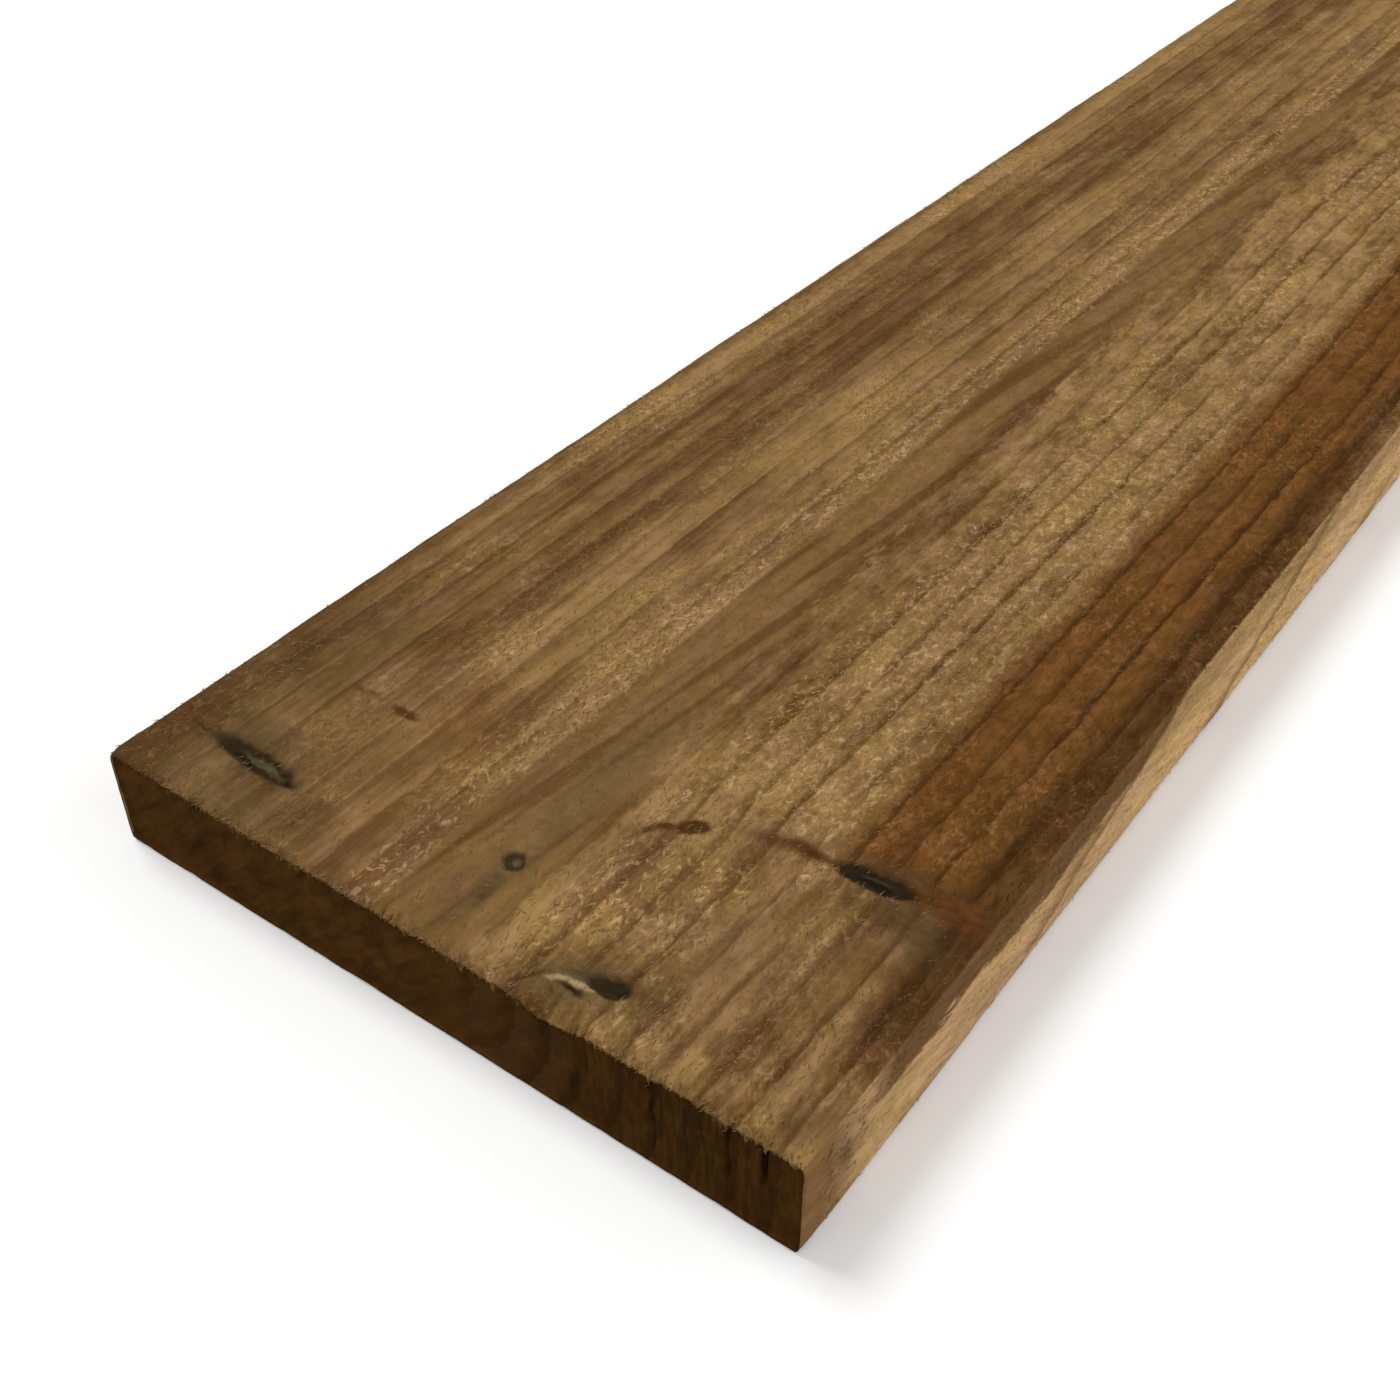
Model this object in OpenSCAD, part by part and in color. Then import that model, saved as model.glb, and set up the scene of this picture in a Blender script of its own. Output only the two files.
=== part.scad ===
// Rough-sawn softwood plank, lying flat with the face that has the spike knots upwards.
// X runs along the length, Y across the width and Z up. The origin is the middle of the underside.
// The sawn end with the drying checks is at -X, and the edge that they are measured from is at -Y.

/* [Board] */
// Length of the board
board_length = 1800; // [600:100:4800]
// Width of the face
board_width = 150; // [75:5:225]
// Thickness of the board
board_thickness = 22; // [16:1:50]

/* [Arrises] */
// Radius that handling has worn on the four long arrises
arris_radius = 1; // [0.4:0.1:3]

/* [Drying checks] */
// Distance of the first check from the edge
first_check_inset = 28; // [20:1:40]
// Distance of the second check from the edge
second_check_inset = 14; // [12:1:18]
// Distance of the third check from the edge
third_check_inset = 7; // [5:1:10]
// Depth of the first check below the face
first_check_depth = 19; // [4:1:40]
// Depth of the second check below the face
second_check_depth = 15; // [4:1:40]
// Depth of the third check below the face
third_check_depth = 11; // [4:1:40]
// How wide a check gapes at the sawn end
check_gape = 0.9; // [0.4:0.1:2]
// How far a check runs into the board before it closes
check_reach = 14; // [6:1:40]

/* [Broken arris] */
// Width of the chip that has broken out of the arris of the sawn end
chip_width = 12; // [6:1:20]
// Depth of the chip below the face, at the sawn end
chip_depth = 2.5; // [1:0.1:4]
// How far the chip runs into the board
chip_reach = 5; // [3:0.5:10]
// Distance of its middle from the right edge
chip_inset = 47; // [30:1:55]

/* [Knot pockets] */
// How far the dead knots have shrunk below the face
pocket_depth = 1; // [0.4:0.1:2.5]
// Length of the spike knot near the left edge, across the grain
left_knot_length = 21; // [10:1:30]
// Width of the spike knot near the left edge, along the grain
left_knot_width = 5; // [3:0.5:8]
// Distance of its middle from the left edge
left_knot_inset = 23; // [18:1:35]
// Distance of its middle from the sawn end
left_knot_set_back = 14.5; // [8:0.5:40]
// Length of the spike knot close to the sawn end
end_knot_length = 14; // [8:1:20]
// Width of the spike knot close to the sawn end
end_knot_width = 4; // [2:0.5:6]
// Distance of its middle from the right edge
end_knot_inset = 46; // [30:1:48]
// Distance of its middle from the sawn end
end_knot_set_back = 9; // [6:0.5:40]
// How far it leans along the grain, in degrees: its right end lies further from the sawn end
end_knot_lean = 22; // [0:1:40]
// Length of the spike knot near the right edge
right_knot_length = 15; // [8:1:20]
// Width of the spike knot near the right edge
right_knot_width = 4.5; // [2:0.5:6]
// Distance of its middle from the right edge
right_knot_inset = 22; // [16:1:40]
// Distance of its middle from the sawn end
right_knot_set_back = 54.5; // [30:0.5:90]

/* [Hidden] */
$fn = 48;

left_edge_y = board_width / 2;
right_edge_y = -board_width / 2;
sawn_end_x = -board_length / 2;
face_z = board_thickness;
// Cutters stand this far out of the faces that they open
overcut = 1;
// Sides of a full turn of a knot's long arcs
long_arc_sides = 180;

// The section, with its middle at the origin: two overlapping strips and a round in each corner
module board_section() {
    core_width = board_width - 2 * arris_radius;
    core_thickness = board_thickness - 2 * arris_radius;
    square([core_width, board_thickness], center = true);
    square([board_width, core_thickness], center = true);
    for (side = [-1, 1], face = [-1, 1])
        translate([side * core_width / 2, face * core_thickness / 2])
            circle(r = arris_radius);
}

// The board as it left the saw, lying flat with its underside at zero height
module sawn_board() {
    translate([0, 0, board_thickness / 2])
        rotate([90, 0, 90])
            linear_extrude(height = board_length, center = true)
                board_section();
}

// A radial crack that opens at the sawn end and at the face, and narrows to nothing inside the board
module drying_check(inset, depth) {
    // The sides keep their slope through the overcut, so that the gape is true at the end itself
    mouth = check_gape * (check_reach + overcut) / check_reach;
    translate([sawn_end_x, right_edge_y + inset, face_z - depth])
        linear_extrude(height = depth + overcut)
            polygon([[-overcut, -mouth / 2], [check_reach, 0], [-overcut, mouth / 2]]);
}

// A scoop out of the end arris, deepest at the sawn end and running out at the face
module arris_chip() {
    slope = atan(chip_depth / chip_reach);
    // The scoop is the side of a round that lies along the slope, so its sagitta is square to the slope
    sagitta = chip_depth * cos(slope);
    scoop_radius = (pow(chip_width / 2, 2) + pow(sagitta, 2)) / (2 * sagitta);
    scoop_length = chip_reach / cos(slope);
    translate([sawn_end_x, right_edge_y + chip_inset, face_z - chip_depth])
        rotate([0, -slope, 0])
            translate([-overcut, 0, scoop_radius])
                rotate([0, 90, 0])
                    cylinder(r = scoop_radius, h = scoop_length + 2 * overcut);
}

// The plan of a spike knot, lying across the grain: the overlap of two equal arcs
module lens(length, width) {
    arc_radius = (length * length + width * width) / (4 * width);
    intersection_for (side = [-1, 1])
        translate([side * (arc_radius - width / 2), 0])
            circle(r = arc_radius, $fn = long_arc_sides);
}

// The hollow that a shrunken spike knot leaves in the face
module knot_pocket(y, set_back, length, width, lean = 0) {
    translate([sawn_end_x + set_back, y, face_z - pocket_depth])
        rotate(lean)
            linear_extrude(height = pocket_depth + overcut)
                lens(length, width);
}

module plank() {
    color("#80613a")
        difference() {
            sawn_board();
            drying_check(first_check_inset, first_check_depth);
            drying_check(second_check_inset, second_check_depth);
            drying_check(third_check_inset, third_check_depth);
            arris_chip();
            knot_pocket(left_edge_y - left_knot_inset, left_knot_set_back, left_knot_length, left_knot_width);
            knot_pocket(right_edge_y + end_knot_inset, end_knot_set_back,
                end_knot_length, end_knot_width, end_knot_lean);
            knot_pocket(right_edge_y + right_knot_inset, right_knot_set_back,
                right_knot_length, right_knot_width);
        }
}

plank();
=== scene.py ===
"""Looks of a rough-sawn softwood plank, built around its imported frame."""
import math
from collections import namedtuple
from functools import reduce

import bpy
import numpy as np
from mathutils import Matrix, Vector


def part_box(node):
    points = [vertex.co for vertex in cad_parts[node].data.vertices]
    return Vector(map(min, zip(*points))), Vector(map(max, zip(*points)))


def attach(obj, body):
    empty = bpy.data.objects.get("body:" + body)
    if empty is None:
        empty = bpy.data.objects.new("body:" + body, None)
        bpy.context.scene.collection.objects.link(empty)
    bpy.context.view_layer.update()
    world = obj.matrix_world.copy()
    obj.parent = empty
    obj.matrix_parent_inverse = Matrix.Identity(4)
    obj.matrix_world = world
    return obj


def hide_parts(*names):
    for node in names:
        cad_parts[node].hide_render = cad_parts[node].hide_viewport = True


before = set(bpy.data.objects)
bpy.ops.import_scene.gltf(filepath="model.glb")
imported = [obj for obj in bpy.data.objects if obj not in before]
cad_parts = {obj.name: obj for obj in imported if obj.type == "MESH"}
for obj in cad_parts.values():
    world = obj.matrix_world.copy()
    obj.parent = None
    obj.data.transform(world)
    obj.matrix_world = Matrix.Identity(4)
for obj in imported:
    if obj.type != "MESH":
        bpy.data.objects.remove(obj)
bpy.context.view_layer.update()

bl_info = {
    "name": "Rough-sawn plank",
    "version": (1, 0, 0),
    "blender": (4, 5, 0),
    "location": "3D View > Sidebar > Plank",
    "description": "A sawn softwood plank with growth rings, knots, drying checks and raised fibres",
    "category": "Add Mesh",
}

# The board, in millimetres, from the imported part
MM = 1000.0
LOW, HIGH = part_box("plank")
LENGTH = (HIGH.x - LOW.x) * MM
WIDTH = (HIGH.y - LOW.y) * MM
THICKNESS = (HIGH.z - LOW.z) * MM

# Marks are spindles from a start to an end, with half a width, the width of a soft rim and a strength.
# All are in millimetres, and these lie on the face: across from the left edge and along from the sawn end
Mark = namedtuple("Mark", "kind start end width soft strength")
# Splits are painted shade of the gaps beside the knots
FACE_MARKS = (
    # The spike knot at the left
    Mark("stain", (4.0, 14.6), (40.0, 13.6), 3.4, 5.0, 0.75),
    Mark("stain", (12.0, 17.2), (29.0, 16.8), 1.4, 4.0, 0.60),
    Mark("stain", (34.0, 12.4), (48.0, 11.8), 2.0, 4.5, 0.60),
    Mark("rust", (-5.0, 14.0), (11.0, 14.5), 6.0, 6.0, 0.22),
    Mark("ash", (4.0, 5.0), (44.0, 4.5), 5.0, 6.0, 0.45),
    Mark("ash", (10.0, 21.0), (38.0, 19.0), 4.0, 6.0, 0.40),
    Mark("dark", (9.5, 15.7), (36.5, 13.5), 2.4, 1.3, 0.92),
    Mark("dark", (3.0, 15.6), (15.0, 15.4), 0.3, 0.8, 0.50),
    Mark("sliver", (18.0, 15.1), (32.6, 13.8), 0.9, 1.0, 0.75),
    Mark("split", (17.0, 14.2), (27.0, 13.1), 0.5, 0.8, 0.90),
    Mark("split", (30.6, 14.0), (34.0, 13.5), 0.5, 0.9, 0.80),
    # The tilted spike knot by the sawn end
    Mark("ash", (92.0, 4.0), (114.0, 13.0), 4.0, 5.0, 0.70),
    Mark("stain", (101.0, 9.6), (112.0, 12.6), 2.0, 3.2, 0.60),
    Mark("rust", (108.0, 12.2), (117.0, 11.4), 1.3, 2.2, 0.65),
    Mark("line", (91.6, -1.0), (98.2, 8.6), 0.6, 0.8, 0.85),
    Mark("line", (97.6, 8.4), (103.6, 10.0), 0.5, 0.8, 0.75),
    Mark("line", (98.2, 6.3), (101.0, 3.7), 0.3, 0.7, 0.70),
    Mark("line", (108.4, 12.0), (110.2, 16.8), 0.7, 1.0, 0.85),
    Mark("line", (110.1, 16.2), (110.5, 23.0), 0.35, 0.8, 0.70),
    Mark("dark", (102.4, 9.6), (111.0, 11.0), 2.1, 1.1, 0.94),
    Mark("sliver", (98.6, 8.3), (104.6, 9.3), 0.7, 0.9, 0.60),
    Mark("pale", (97.2, 6.0), (101.6, 8.0), 0.5, 0.6, 0.85),
    Mark("pale", (100.0, 7.7), (106.0, 7.8), 0.6, 0.6, 0.85),
    Mark("split", (99.0, 6.4), (106.6, 6.7), 0.5, 0.7, 0.85),
    # The spike knot at the right, and the whorl line through it
    Mark("stain", (92.0, 49.4), (124.0, 54.2), 1.0, 2.8, 0.45),
    Mark("stain", (116.0, 55.6), (152.0, 57.6), 2.8, 4.0, 0.75),
    Mark("stain", (125.4, 52.0), (127.6, 44.0), 1.3, 3.0, 0.55),
    Mark("stain", (131.0, 54.5), (147.0, 42.0), 4.4, 6.0, 0.80),
    Mark("rust", (104.0, 52.1), (125.0, 54.2), 1.6, 2.6, 0.75),
    Mark("rust", (131.0, 56.4), (154.0, 54.6), 3.0, 3.4, 0.90),
    Mark("line", (107.5, 52.4), (124.0, 54.0), 0.9, 1.2, 0.90),
    Mark("line", (129.0, 54.4), (142.0, 55.8), 1.7, 1.8, 0.95),
    Mark("dark", (119.8, 53.6), (136.4, 54.9), 2.5, 1.1, 0.98),
    Mark("sliver", (125.0, 54.6), (131.5, 55.0), 0.5, 0.9, 0.35),
    Mark("split", (122.4, 53.4), (133.4, 54.0), 0.7, 0.9, 0.85),
    # Torn grain and a pin knot
    Mark("line", (90.0, 39.0), (91.0, 43.6), 0.6, 0.8, 0.95),
    Mark("line", (90.4, 42.2), (95.0, 45.2), 0.8, 0.8, 0.95),
    Mark("line", (93.8, 44.6), (99.6, 48.0), 1.7, 1.0, 1.00),
    Mark("line", (32.0, 39.8), (40.4, 39.2), 1.1, 1.0, 0.95),
    Mark("line", (20.0, 40.3), (32.0, 39.5), 0.5, 1.0, 0.60),
    Mark("dark", (74.9, 22.4), (79.5, 22.2), 2.3, 1.1, 0.85),
    Mark("sliver", (76.6, 22.9), (78.6, 22.7), 0.9, 0.8, 0.60),
    Mark("stain", (78.0, 18.5), (78.6, 9.0), 1.0, 1.8, 0.70),
    Mark("ash", (76.5, 78.0), (78.4, 10.0), 4.5, 6.0, 0.50),
    Mark("ash", (77.4, 27.0), (78.4, 3.0), 1.6, 2.6, 0.65),
    Mark("ash", (72.5, 22.8), (82.5, 22.2), 3.0, 3.0, 0.60),
    # Grey wood where the knots drain the colour
    Mark("ash", (80.0, 34.0), (150.0, 30.0), 5.0, 14.0, 0.28),
    Mark("ash", (28.0, 34.0), (64.0, 22.0), 8.0, 12.0, 0.28),
    # Broad patches of paler and of deeper wood
    Mark("light", (51.0, 0.0), (47.0, 66.0), 9.0, 9.0, 0.46),
    Mark("light", (94.5, 4.0), (98.0, 46.0), 4.0, 6.0, 0.40),
    Mark("light", (92.0, 37.0), (120.0, 37.5), 4.5, 5.0, 0.40),
    Mark("light", (53.0, 14.0), (52.0, 50.0), 4.5, 6.0, 0.72),
    Mark("light", (52.0, 6.5), (66.0, 6.5), 4.0, 4.0, 0.42),
    Mark("light", (124.0, 7.0), (140.0, 7.0), 4.0, 4.0, 0.30),
    Mark("light", (128.0, 33.0), (141.0, 34.0), 5.0, 5.0, 0.28),
    Mark("deep", (14.0, 2.0), (15.0, 82.0), 9.0, 9.0, 0.26),
    Mark("deep", (6.0, 22.0), (30.0, 19.5), 4.5, 6.0, 0.42),
    Mark("deep", (65.0, 14.0), (65.0, 78.0), 3.0, 4.0, 0.20),
    Mark("deep", (87.0, 18.0), (87.0, 50.0), 2.5, 4.0, 0.20),
    Mark("deep", (34.0, 7.0), (50.0, 7.0), 3.5, 4.0, 0.26),
    Mark("deep", (140.0, 6.0), (152.0, 8.0), 4.0, 4.0, 0.22),
    Mark("deep", (114.0, 2.0), (115.5, 30.0), 4.5, 5.0, 0.28),
    Mark("deep", (75.0, -4.0), (75.5, 24.0), 4.5, 5.0, 0.22),
    Mark("deep", (124.0, 57.0), (156.0, 50.0), 6.0, 7.0, 0.30),
)
# The face has marks up to this distance from the sawn end
MARKED_LENGTH = 88.0
# A grey smear on the right edge: along from the sawn end and down from the face
EDGE_MARKS = (
    Mark("ash", (11.8, 5.5), (12.8, 15.5), 1.5, 2.4, 0.65),
)
# Painted shade in gaps of the sawn end, three of them down the checks: across from the left edge and down
# from the face
END_GAP_SHADES = (
    Mark("dark", (122.0, -6.0), (122.4, 22.0), 0.60, 0.6, 0.95),
    Mark("dark", (136.0, -6.0), (136.6, 17.0), 0.55, 0.6, 0.95),
    Mark("dark", (143.0, -6.0), (142.6, 14.0), 0.55, 0.6, 0.95),
    Mark("dark", (105.0, 20.0), (109.4, 6.0), 0.70, 1.4, 0.70),
    Mark("dark", (128.5, 0.0), (129.0, 15.0), 0.40, 0.7, 0.60),
    Mark("dark", (131.5, -2.0), (132.0, 12.0), 0.40, 0.7, 0.60),
)

# Drying checks that open in the sawn end: across from the left edge, and depth below the face
Check = namedtuple("Check", "across depth")
CHECKS = (Check(122.0, 19.0), Check(136.0, 15.0), Check(143.0, 11.0))
CHECK_GAPE = 0.9
CHECK_REACH = 14.0

# A chip broken out of the end arris, across from the left edge
CHIP_ACROSS = 103.0
CHIP_WIDTH = 12.0
CHIP_DEPTH = 2.5

# Room inside the board's box, in millimetres, for the fibres that stand out of the ends
END_SINK = 0.5

# Grains of the timber: lengths of their waves along, across and down in millimetres, a seed, and what the
# noise is set to
Grain = namedtuple("Grain", "along across depth seed detail roughness distortion", defaults=(2.0, 0.5, 0.0))
GRAINS = {
    # Growth
    "slow ring": Grain(150.0, 26.0, 26.0, 3.0, 1.0),
    "quick ring": Grain(8.0, 3.0, 3.0, 8.0, 2.0, 0.6),
    "ring fade": Grain(36.0, 7.0, 7.0, 21.0, 1.0),
    "flame": Grain(80.0, 4.2, 4.2, 14.0, 1.0, 0.6),
    "stripe": Grain(210.0, 18.0, 18.0, 31.0, 1.0),
    # Sawn face
    "blotch": Grain(60.0, 13.0, 13.0, 1.0, 1.0),
    "cloud": Grain(15.0, 7.0, 7.0, 27.0, 1.0),
    "streak": Grain(48.0, 1.5, 1.5, 5.0, 2.0, 0.62),
    "mottle": Grain(5.2, 2.2, 2.2, 9.0, 3.0, 0.68),
    "warmth": Grain(20.0, 8.0, 8.0, 47.0, 1.0),
    "flake": Grain(4.4, 2.7, 2.7, 44.0, 2.0, 0.6, 0.8),
    "torn patch": Grain(34.0, 12.0, 12.0, 17.0, 1.0),
    "tuft": Grain(2.2, 1.6, 1.6, 40.0, 2.0, 0.6, 0.9),
    "speckle": Grain(1.6, 1.6, 1.6, 95.0, 1.0),
    # Marks
    "wander": Grain(4.5, 4.5, 4.5, 12.0, 2.0, 0.65),
    "grime": Grain(1.4, 2.6, 4.0, 51.0),
    # Long edges
    "edge streak": Grain(36.0, 9.0, 2.1, 61.0, 2.0, 0.6),
    "edge blotch": Grain(30.0, 20.0, 7.0, 64.0, 3.0, 0.6),
    "splinter": Grain(8.0, 9.0, 0.8, 66.0, 2.0, 0.6, 0.3),
    "edge warp": Grain(260.0, 60.0, 300.0, 67.0, 1.0),
    "edge fade": Grain(120.0, 60.0, 30.0, 69.0, 0.0),
    # Sawn ends
    "end blotch": Grain(40.0, 14.0, 7.0, 71.0, 2.0, 0.6),
    "end tear": Grain(30.0, 1.2, 6.0, 74.0, 2.0, 0.65),
    "saw mark": Grain(30.0, 13.0, 2.6, 76.0, 2.0, 0.65, 0.4),
    "fringe": Grain(60.0, 1.9, 60.0, 79.0, 2.0, 0.7),
    # Relief
    "swell": Grain(45.0, 16.0, 16.0, 33.0, 3.0, 0.55),
    "tooth": Grain(50.0, 1.3, 50.0, 82.0, 3.0, 0.7),
    "arris tear": Grain(60.0, 7.0, 60.0, 85.0),
    "arris wear": Grain(9.0, 60.0, 60.0, 88.0, 3.0, 0.6),
}
# How far a seed moves its grain along, across and down
SEED_SHIFT = (1.0, 1.7, 0.6)
# How far the outlines of marks wander, in millimetres
MARK_WANDER = 3.0
# The whorl beside the right spike knot, along and across in millimetres, and how far it offsets the rings
WHORL_ALONG = (60.0, 46.0)
WHORL_ACROSS = (84.0, 96.0)
WHORL_OFFSET = 1.6
# Where the pith begins to wander more, along from the sawn end in millimetres
PITH_WANDER = (120.0, 420.0)
# Sway of the pith across, and in depth near the sawn end and further back, in millimetres
PITH_SWAY = 1.6
PITH_DIP = 1.3
LATE_DIP = 3.2
LATE_SWELL = 3.0
# How far slow and quick waves shift the rings, in millimetres
SLOW_RING_SHIFT = 3.0
QUICK_RING_SHIFT = 2.2
# Seed of the strength of the ring lines
RING_SEED = 4.7
# Shares of a year's growth over which its dark line begins and ends
LINE_START = (0.74, 0.92)
LINE_END = (0.999, 0.95)
# The lines are bolder right of the pith band, and each fades out in places
BOLD_LINES = (80.0, 92.0)
LINE_FADE = (0.24, 0.52)
# Depths below the face between which its marks end, in millimetres
MARK_DEPTHS = (7.0, 4.0)
# How much further out the rings lie on the left, where growth was faster, in millimetres
LEFT_GROWTH = 1.8


class Value:
    """A node socket's value. Arithmetic on it adds Math nodes to the socket's own tree."""

    def __init__(self, nodes, socket):
        self.nodes = nodes
        self.socket = socket

    def __add__(self, other):
        return self.nodes.math("ADD", self, other)

    def __radd__(self, other):
        return self.nodes.math("ADD", other, self)

    def __sub__(self, other):
        return self.nodes.math("SUBTRACT", self, other)

    def __rsub__(self, other):
        return self.nodes.math("SUBTRACT", other, self)

    def __mul__(self, other):
        return self.nodes.math("MULTIPLY", self, other)

    def __rmul__(self, other):
        return self.nodes.math("MULTIPLY", other, self)

    def __truediv__(self, other):
        return self.nodes.math("DIVIDE", self, other)

    def __abs__(self):
        return self.nodes.math("ABSOLUTE", self)

    def least(self, other):
        return self.nodes.math("MINIMUM", self, other)

    def most(self, other):
        return self.nodes.math("MAXIMUM", self, other)

    def root(self):
        return self.nodes.math("SQRT", self)

    def sine(self):
        return self.nodes.math("SINE", self)

    def whole(self):
        return self.nodes.math("FLOOR", self)

    def part(self):
        return self.nodes.math("FRACT", self)

    def rise(self, start, end, top=1.0):
        """0 before start and top after end, eased between them. With end below start it falls instead."""
        inputs = {"Value": self, "From Min": start, "From Max": end, "To Max": top}
        return self.nodes.add("ShaderNodeMapRange", inputs, interpolation_type="SMOOTHSTEP")


class Nodes:
    """Adds nodes to one tree. The same fields can be built in a material and in Geometry Nodes."""

    def __init__(self, tree):
        self.tree = tree

    def add(self, kind, inputs=None, output=0, **settings):
        """A node of any kind: its settings first, then the values or links of its sockets."""
        node = self.tree.nodes.new(kind)
        for name, value in settings.items():
            setattr(node, name, value)
        for key, value in (inputs or {}).items():
            if isinstance(value, Value):
                self.tree.links.new(value.socket, node.inputs[key])
            else:
                node.inputs[key].default_value = value
        return Value(self, node.outputs[output])

    def end(self, kind, result):
        """Ends the tree with its output node."""
        node = self.tree.nodes.new(kind)
        self.tree.links.new(result.socket, node.inputs[0])

    def math(self, operation, first, second=0.0):
        return self.add("ShaderNodeMath", {0: first, 1: second}, operation=operation)

    def vector(self, x, y, z):
        return self.add("ShaderNodeCombineXYZ", {0: x, 1: y, 2: z})

    def split(self, vector):
        node = self.add("ShaderNodeSeparateXYZ", {0: vector}).socket.node
        return [Value(self, output) for output in node.outputs]

    def affine(self, place, factor, offset):
        """A place times a factor for each axis, plus an offset."""
        # In a shader, places go through Mapping nodes, which pass them to textures without a conversion
        if self.tree.type == "SHADER":
            return self.add("ShaderNodeMapping", {"Vector": place, "Location": offset, "Scale": factor})
        return self.scaled(place, factor, offset)

    def scaled(self, vector, factor, offset):
        """A vector times a factor for each axis, plus an offset."""
        inputs = {0: vector, 1: factor, 2: offset}
        return self.add("ShaderNodeVectorMath", inputs, operation="MULTIPLY_ADD")

    def turned(self, place, x=0.0, y=0.0, z=0.0):
        """A place turned about the axes by angles in radians, in a shader."""
        return self.add("ShaderNodeMapping", {"Vector": place, "Rotation": (x, y, z)})

    def noise(self, vector, detail, roughness, distortion):
        """Smooth noise from 0 to 1, with about one wave for each unit of the vector."""
        inputs = {"Vector": vector, "Scale": 1.0, "Detail": detail}
        inputs |= {"Roughness": roughness, "Distortion": distortion}
        return self.add("ShaderNodeTexNoise", inputs)

    def chance(self, number, seed):
        """A random number from 0 to 1 for each value of number."""
        inputs = {"W": number + seed}
        return self.add("ShaderNodeTexWhiteNoise", inputs, noise_dimensions="1D")

    def mix(self, factor, first, second, blend="MIX"):
        """The first colour, turned towards the second by the factor."""
        inputs = {0: factor, 6: first, 7: second}
        return self.add("ShaderNodeMix", inputs, 2, data_type="RGBA", blend_type=blend)

    def grey(self, value):
        return self.add("ShaderNodeCombineColor", {0: value, 1: value, 2: value})


class Figure:
    """The timber's figure as fields over the board: places in millimetres, rings, marks and torn grain."""

    def __init__(self, nodes, point, timber):
        self.nodes = nodes
        self.place = nodes.affine(point, (MM, -MM, -MM), (LENGTH / 2, WIDTH / 2, THICKNESS))
        self.along, self.across, self.depth = nodes.split(self.place)
        # Marks have ragged outlines, so their places wander a little
        wander = MARK_WANDER * (self.grain("wander") - 0.5)
        self.face_place = nodes.vector(self.across + 0.5 * wander, self.along + wander, 0.0)
        self.edge_place = nodes.vector(self.along + 0.5 * wander, self.depth + wander, 0.0)
        self.end_place = nodes.vector(self.across + 0.5 * wander, self.depth + wander, 0.0)
        self.make_rings(timber)

    def grain(self, name, place=None):
        """One of the timber's grains as noise from 0 to 1, on the board's places or on turned ones."""
        grain = GRAINS[name]
        factor = (1 / grain.along, 1 / grain.across, 1 / grain.depth)
        shift = [grain.seed * share for share in SEED_SHIFT]
        vector = self.nodes.affine(place or self.place, factor, shift)
        return self.nodes.noise(vector, grain.detail, grain.roughness, grain.distortion)

    def zone(self, across=(), along=()):
        """1 where all the ramps across and along the board are full, and 0 where one of them is off."""
        ramps = [self.across.rise(*ramp) for ramp in across]
        ramps += [self.along.rise(*ramp) for ramp in along]
        return reduce(Value.__mul__, ramps)

    def swing(self, wave, phase=0.0):
        """A slow swing along the board, from -1 to 1."""
        return (self.along / wave + phase).sine()

    def make_rings(self, timber):
        """Growth rings about a pith that wanders along the board, just under the face."""
        late = self.along.rise(*PITH_WANDER)
        pith_across = timber.pith_across * MM + PITH_SWAY * self.swing(170.0, 0.3)
        pith_depth = timber.pith_depth * MM + (PITH_DIP + LATE_DIP * late) * self.swing(52.0, 0.9)
        pith_depth = pith_depth + late * LATE_SWELL * self.swing(133.0)
        self.sideways = self.across - pith_across
        below = self.depth - pith_depth
        radius = (self.sideways * self.sideways + below * below).root()
        slow = self.grain("slow ring") - 0.5
        quick = self.grain("quick ring") - 0.5
        fault = self.along.rise(*WHORL_ALONG) * self.across.rise(*WHORL_ACROSS)
        radius = radius + SLOW_RING_SHIFT * slow + QUICK_RING_SHIFT * quick
        self.radius = radius - WHORL_OFFSET * fault
        left_side = self.sideways.rise(2.0, -2.0)
        rings = self.radius - LEFT_GROWTH * left_side - timber.first_ring * MM
        rings = rings / (timber.ring_spacing * MM)
        self.ring = rings.whole()
        self.growth = rings.part()

    def late_line(self):
        """The dark line that closes a year's growth: slow to darken, and sharp on its outer side."""
        # Every other line is stronger, and each has a strength of its own
        even = 1 - 2 * (self.ring * 0.5).part()
        strength = 0.5 * self.nodes.chance(self.ring, RING_SEED) + 0.5 * even
        line = self.growth.rise(*LINE_START) * self.growth.rise(*LINE_END)
        bold = shade("line boldness", self.across.rise(*BOLD_LINES))
        fading = self.grain("ring fade").rise(*LINE_FADE)
        return line * bold * shade("line strength", strength) * fading

    def stroke(self, mark, place):
        """A spindle between two places on a flat field: its strength inside, and 0 at its rim and tips."""
        nodes = self.nodes
        start, end = Vector(mark.start), Vector(mark.end)
        middle = (start + end) / 2
        turn = math.atan2(end.y - start.y, end.x - start.x)
        flat = {"Vector": place, "Center": (*middle, 0.0), "Angle": -turn}
        level = nodes.add("ShaderNodeVectorRotate", flat, rotation_type="Z_AXIS")
        half_length = ((end - start).length + mark.soft) / 2
        half_width = mark.width + mark.soft / 2
        factor = (1 / half_length, 1 / half_width, 0.0)
        local = nodes.scaled(level, factor, (-middle.x / half_length, -middle.y / half_width, 0.0))
        spread = nodes.add("ShaderNodeVectorMath", {0: local}, "Value", operation="LENGTH")
        full = max(0.0, (mark.width - mark.soft / 2) / half_width)
        return spread.rise(1.0, full, mark.strength)

    def marks(self, kind, marks, place):
        """All the marks of one kind, the strongest on top."""
        lenses = [self.stroke(mark, place) for mark in marks if mark.kind == kind]
        return reduce(Value.most, lenses)

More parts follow.
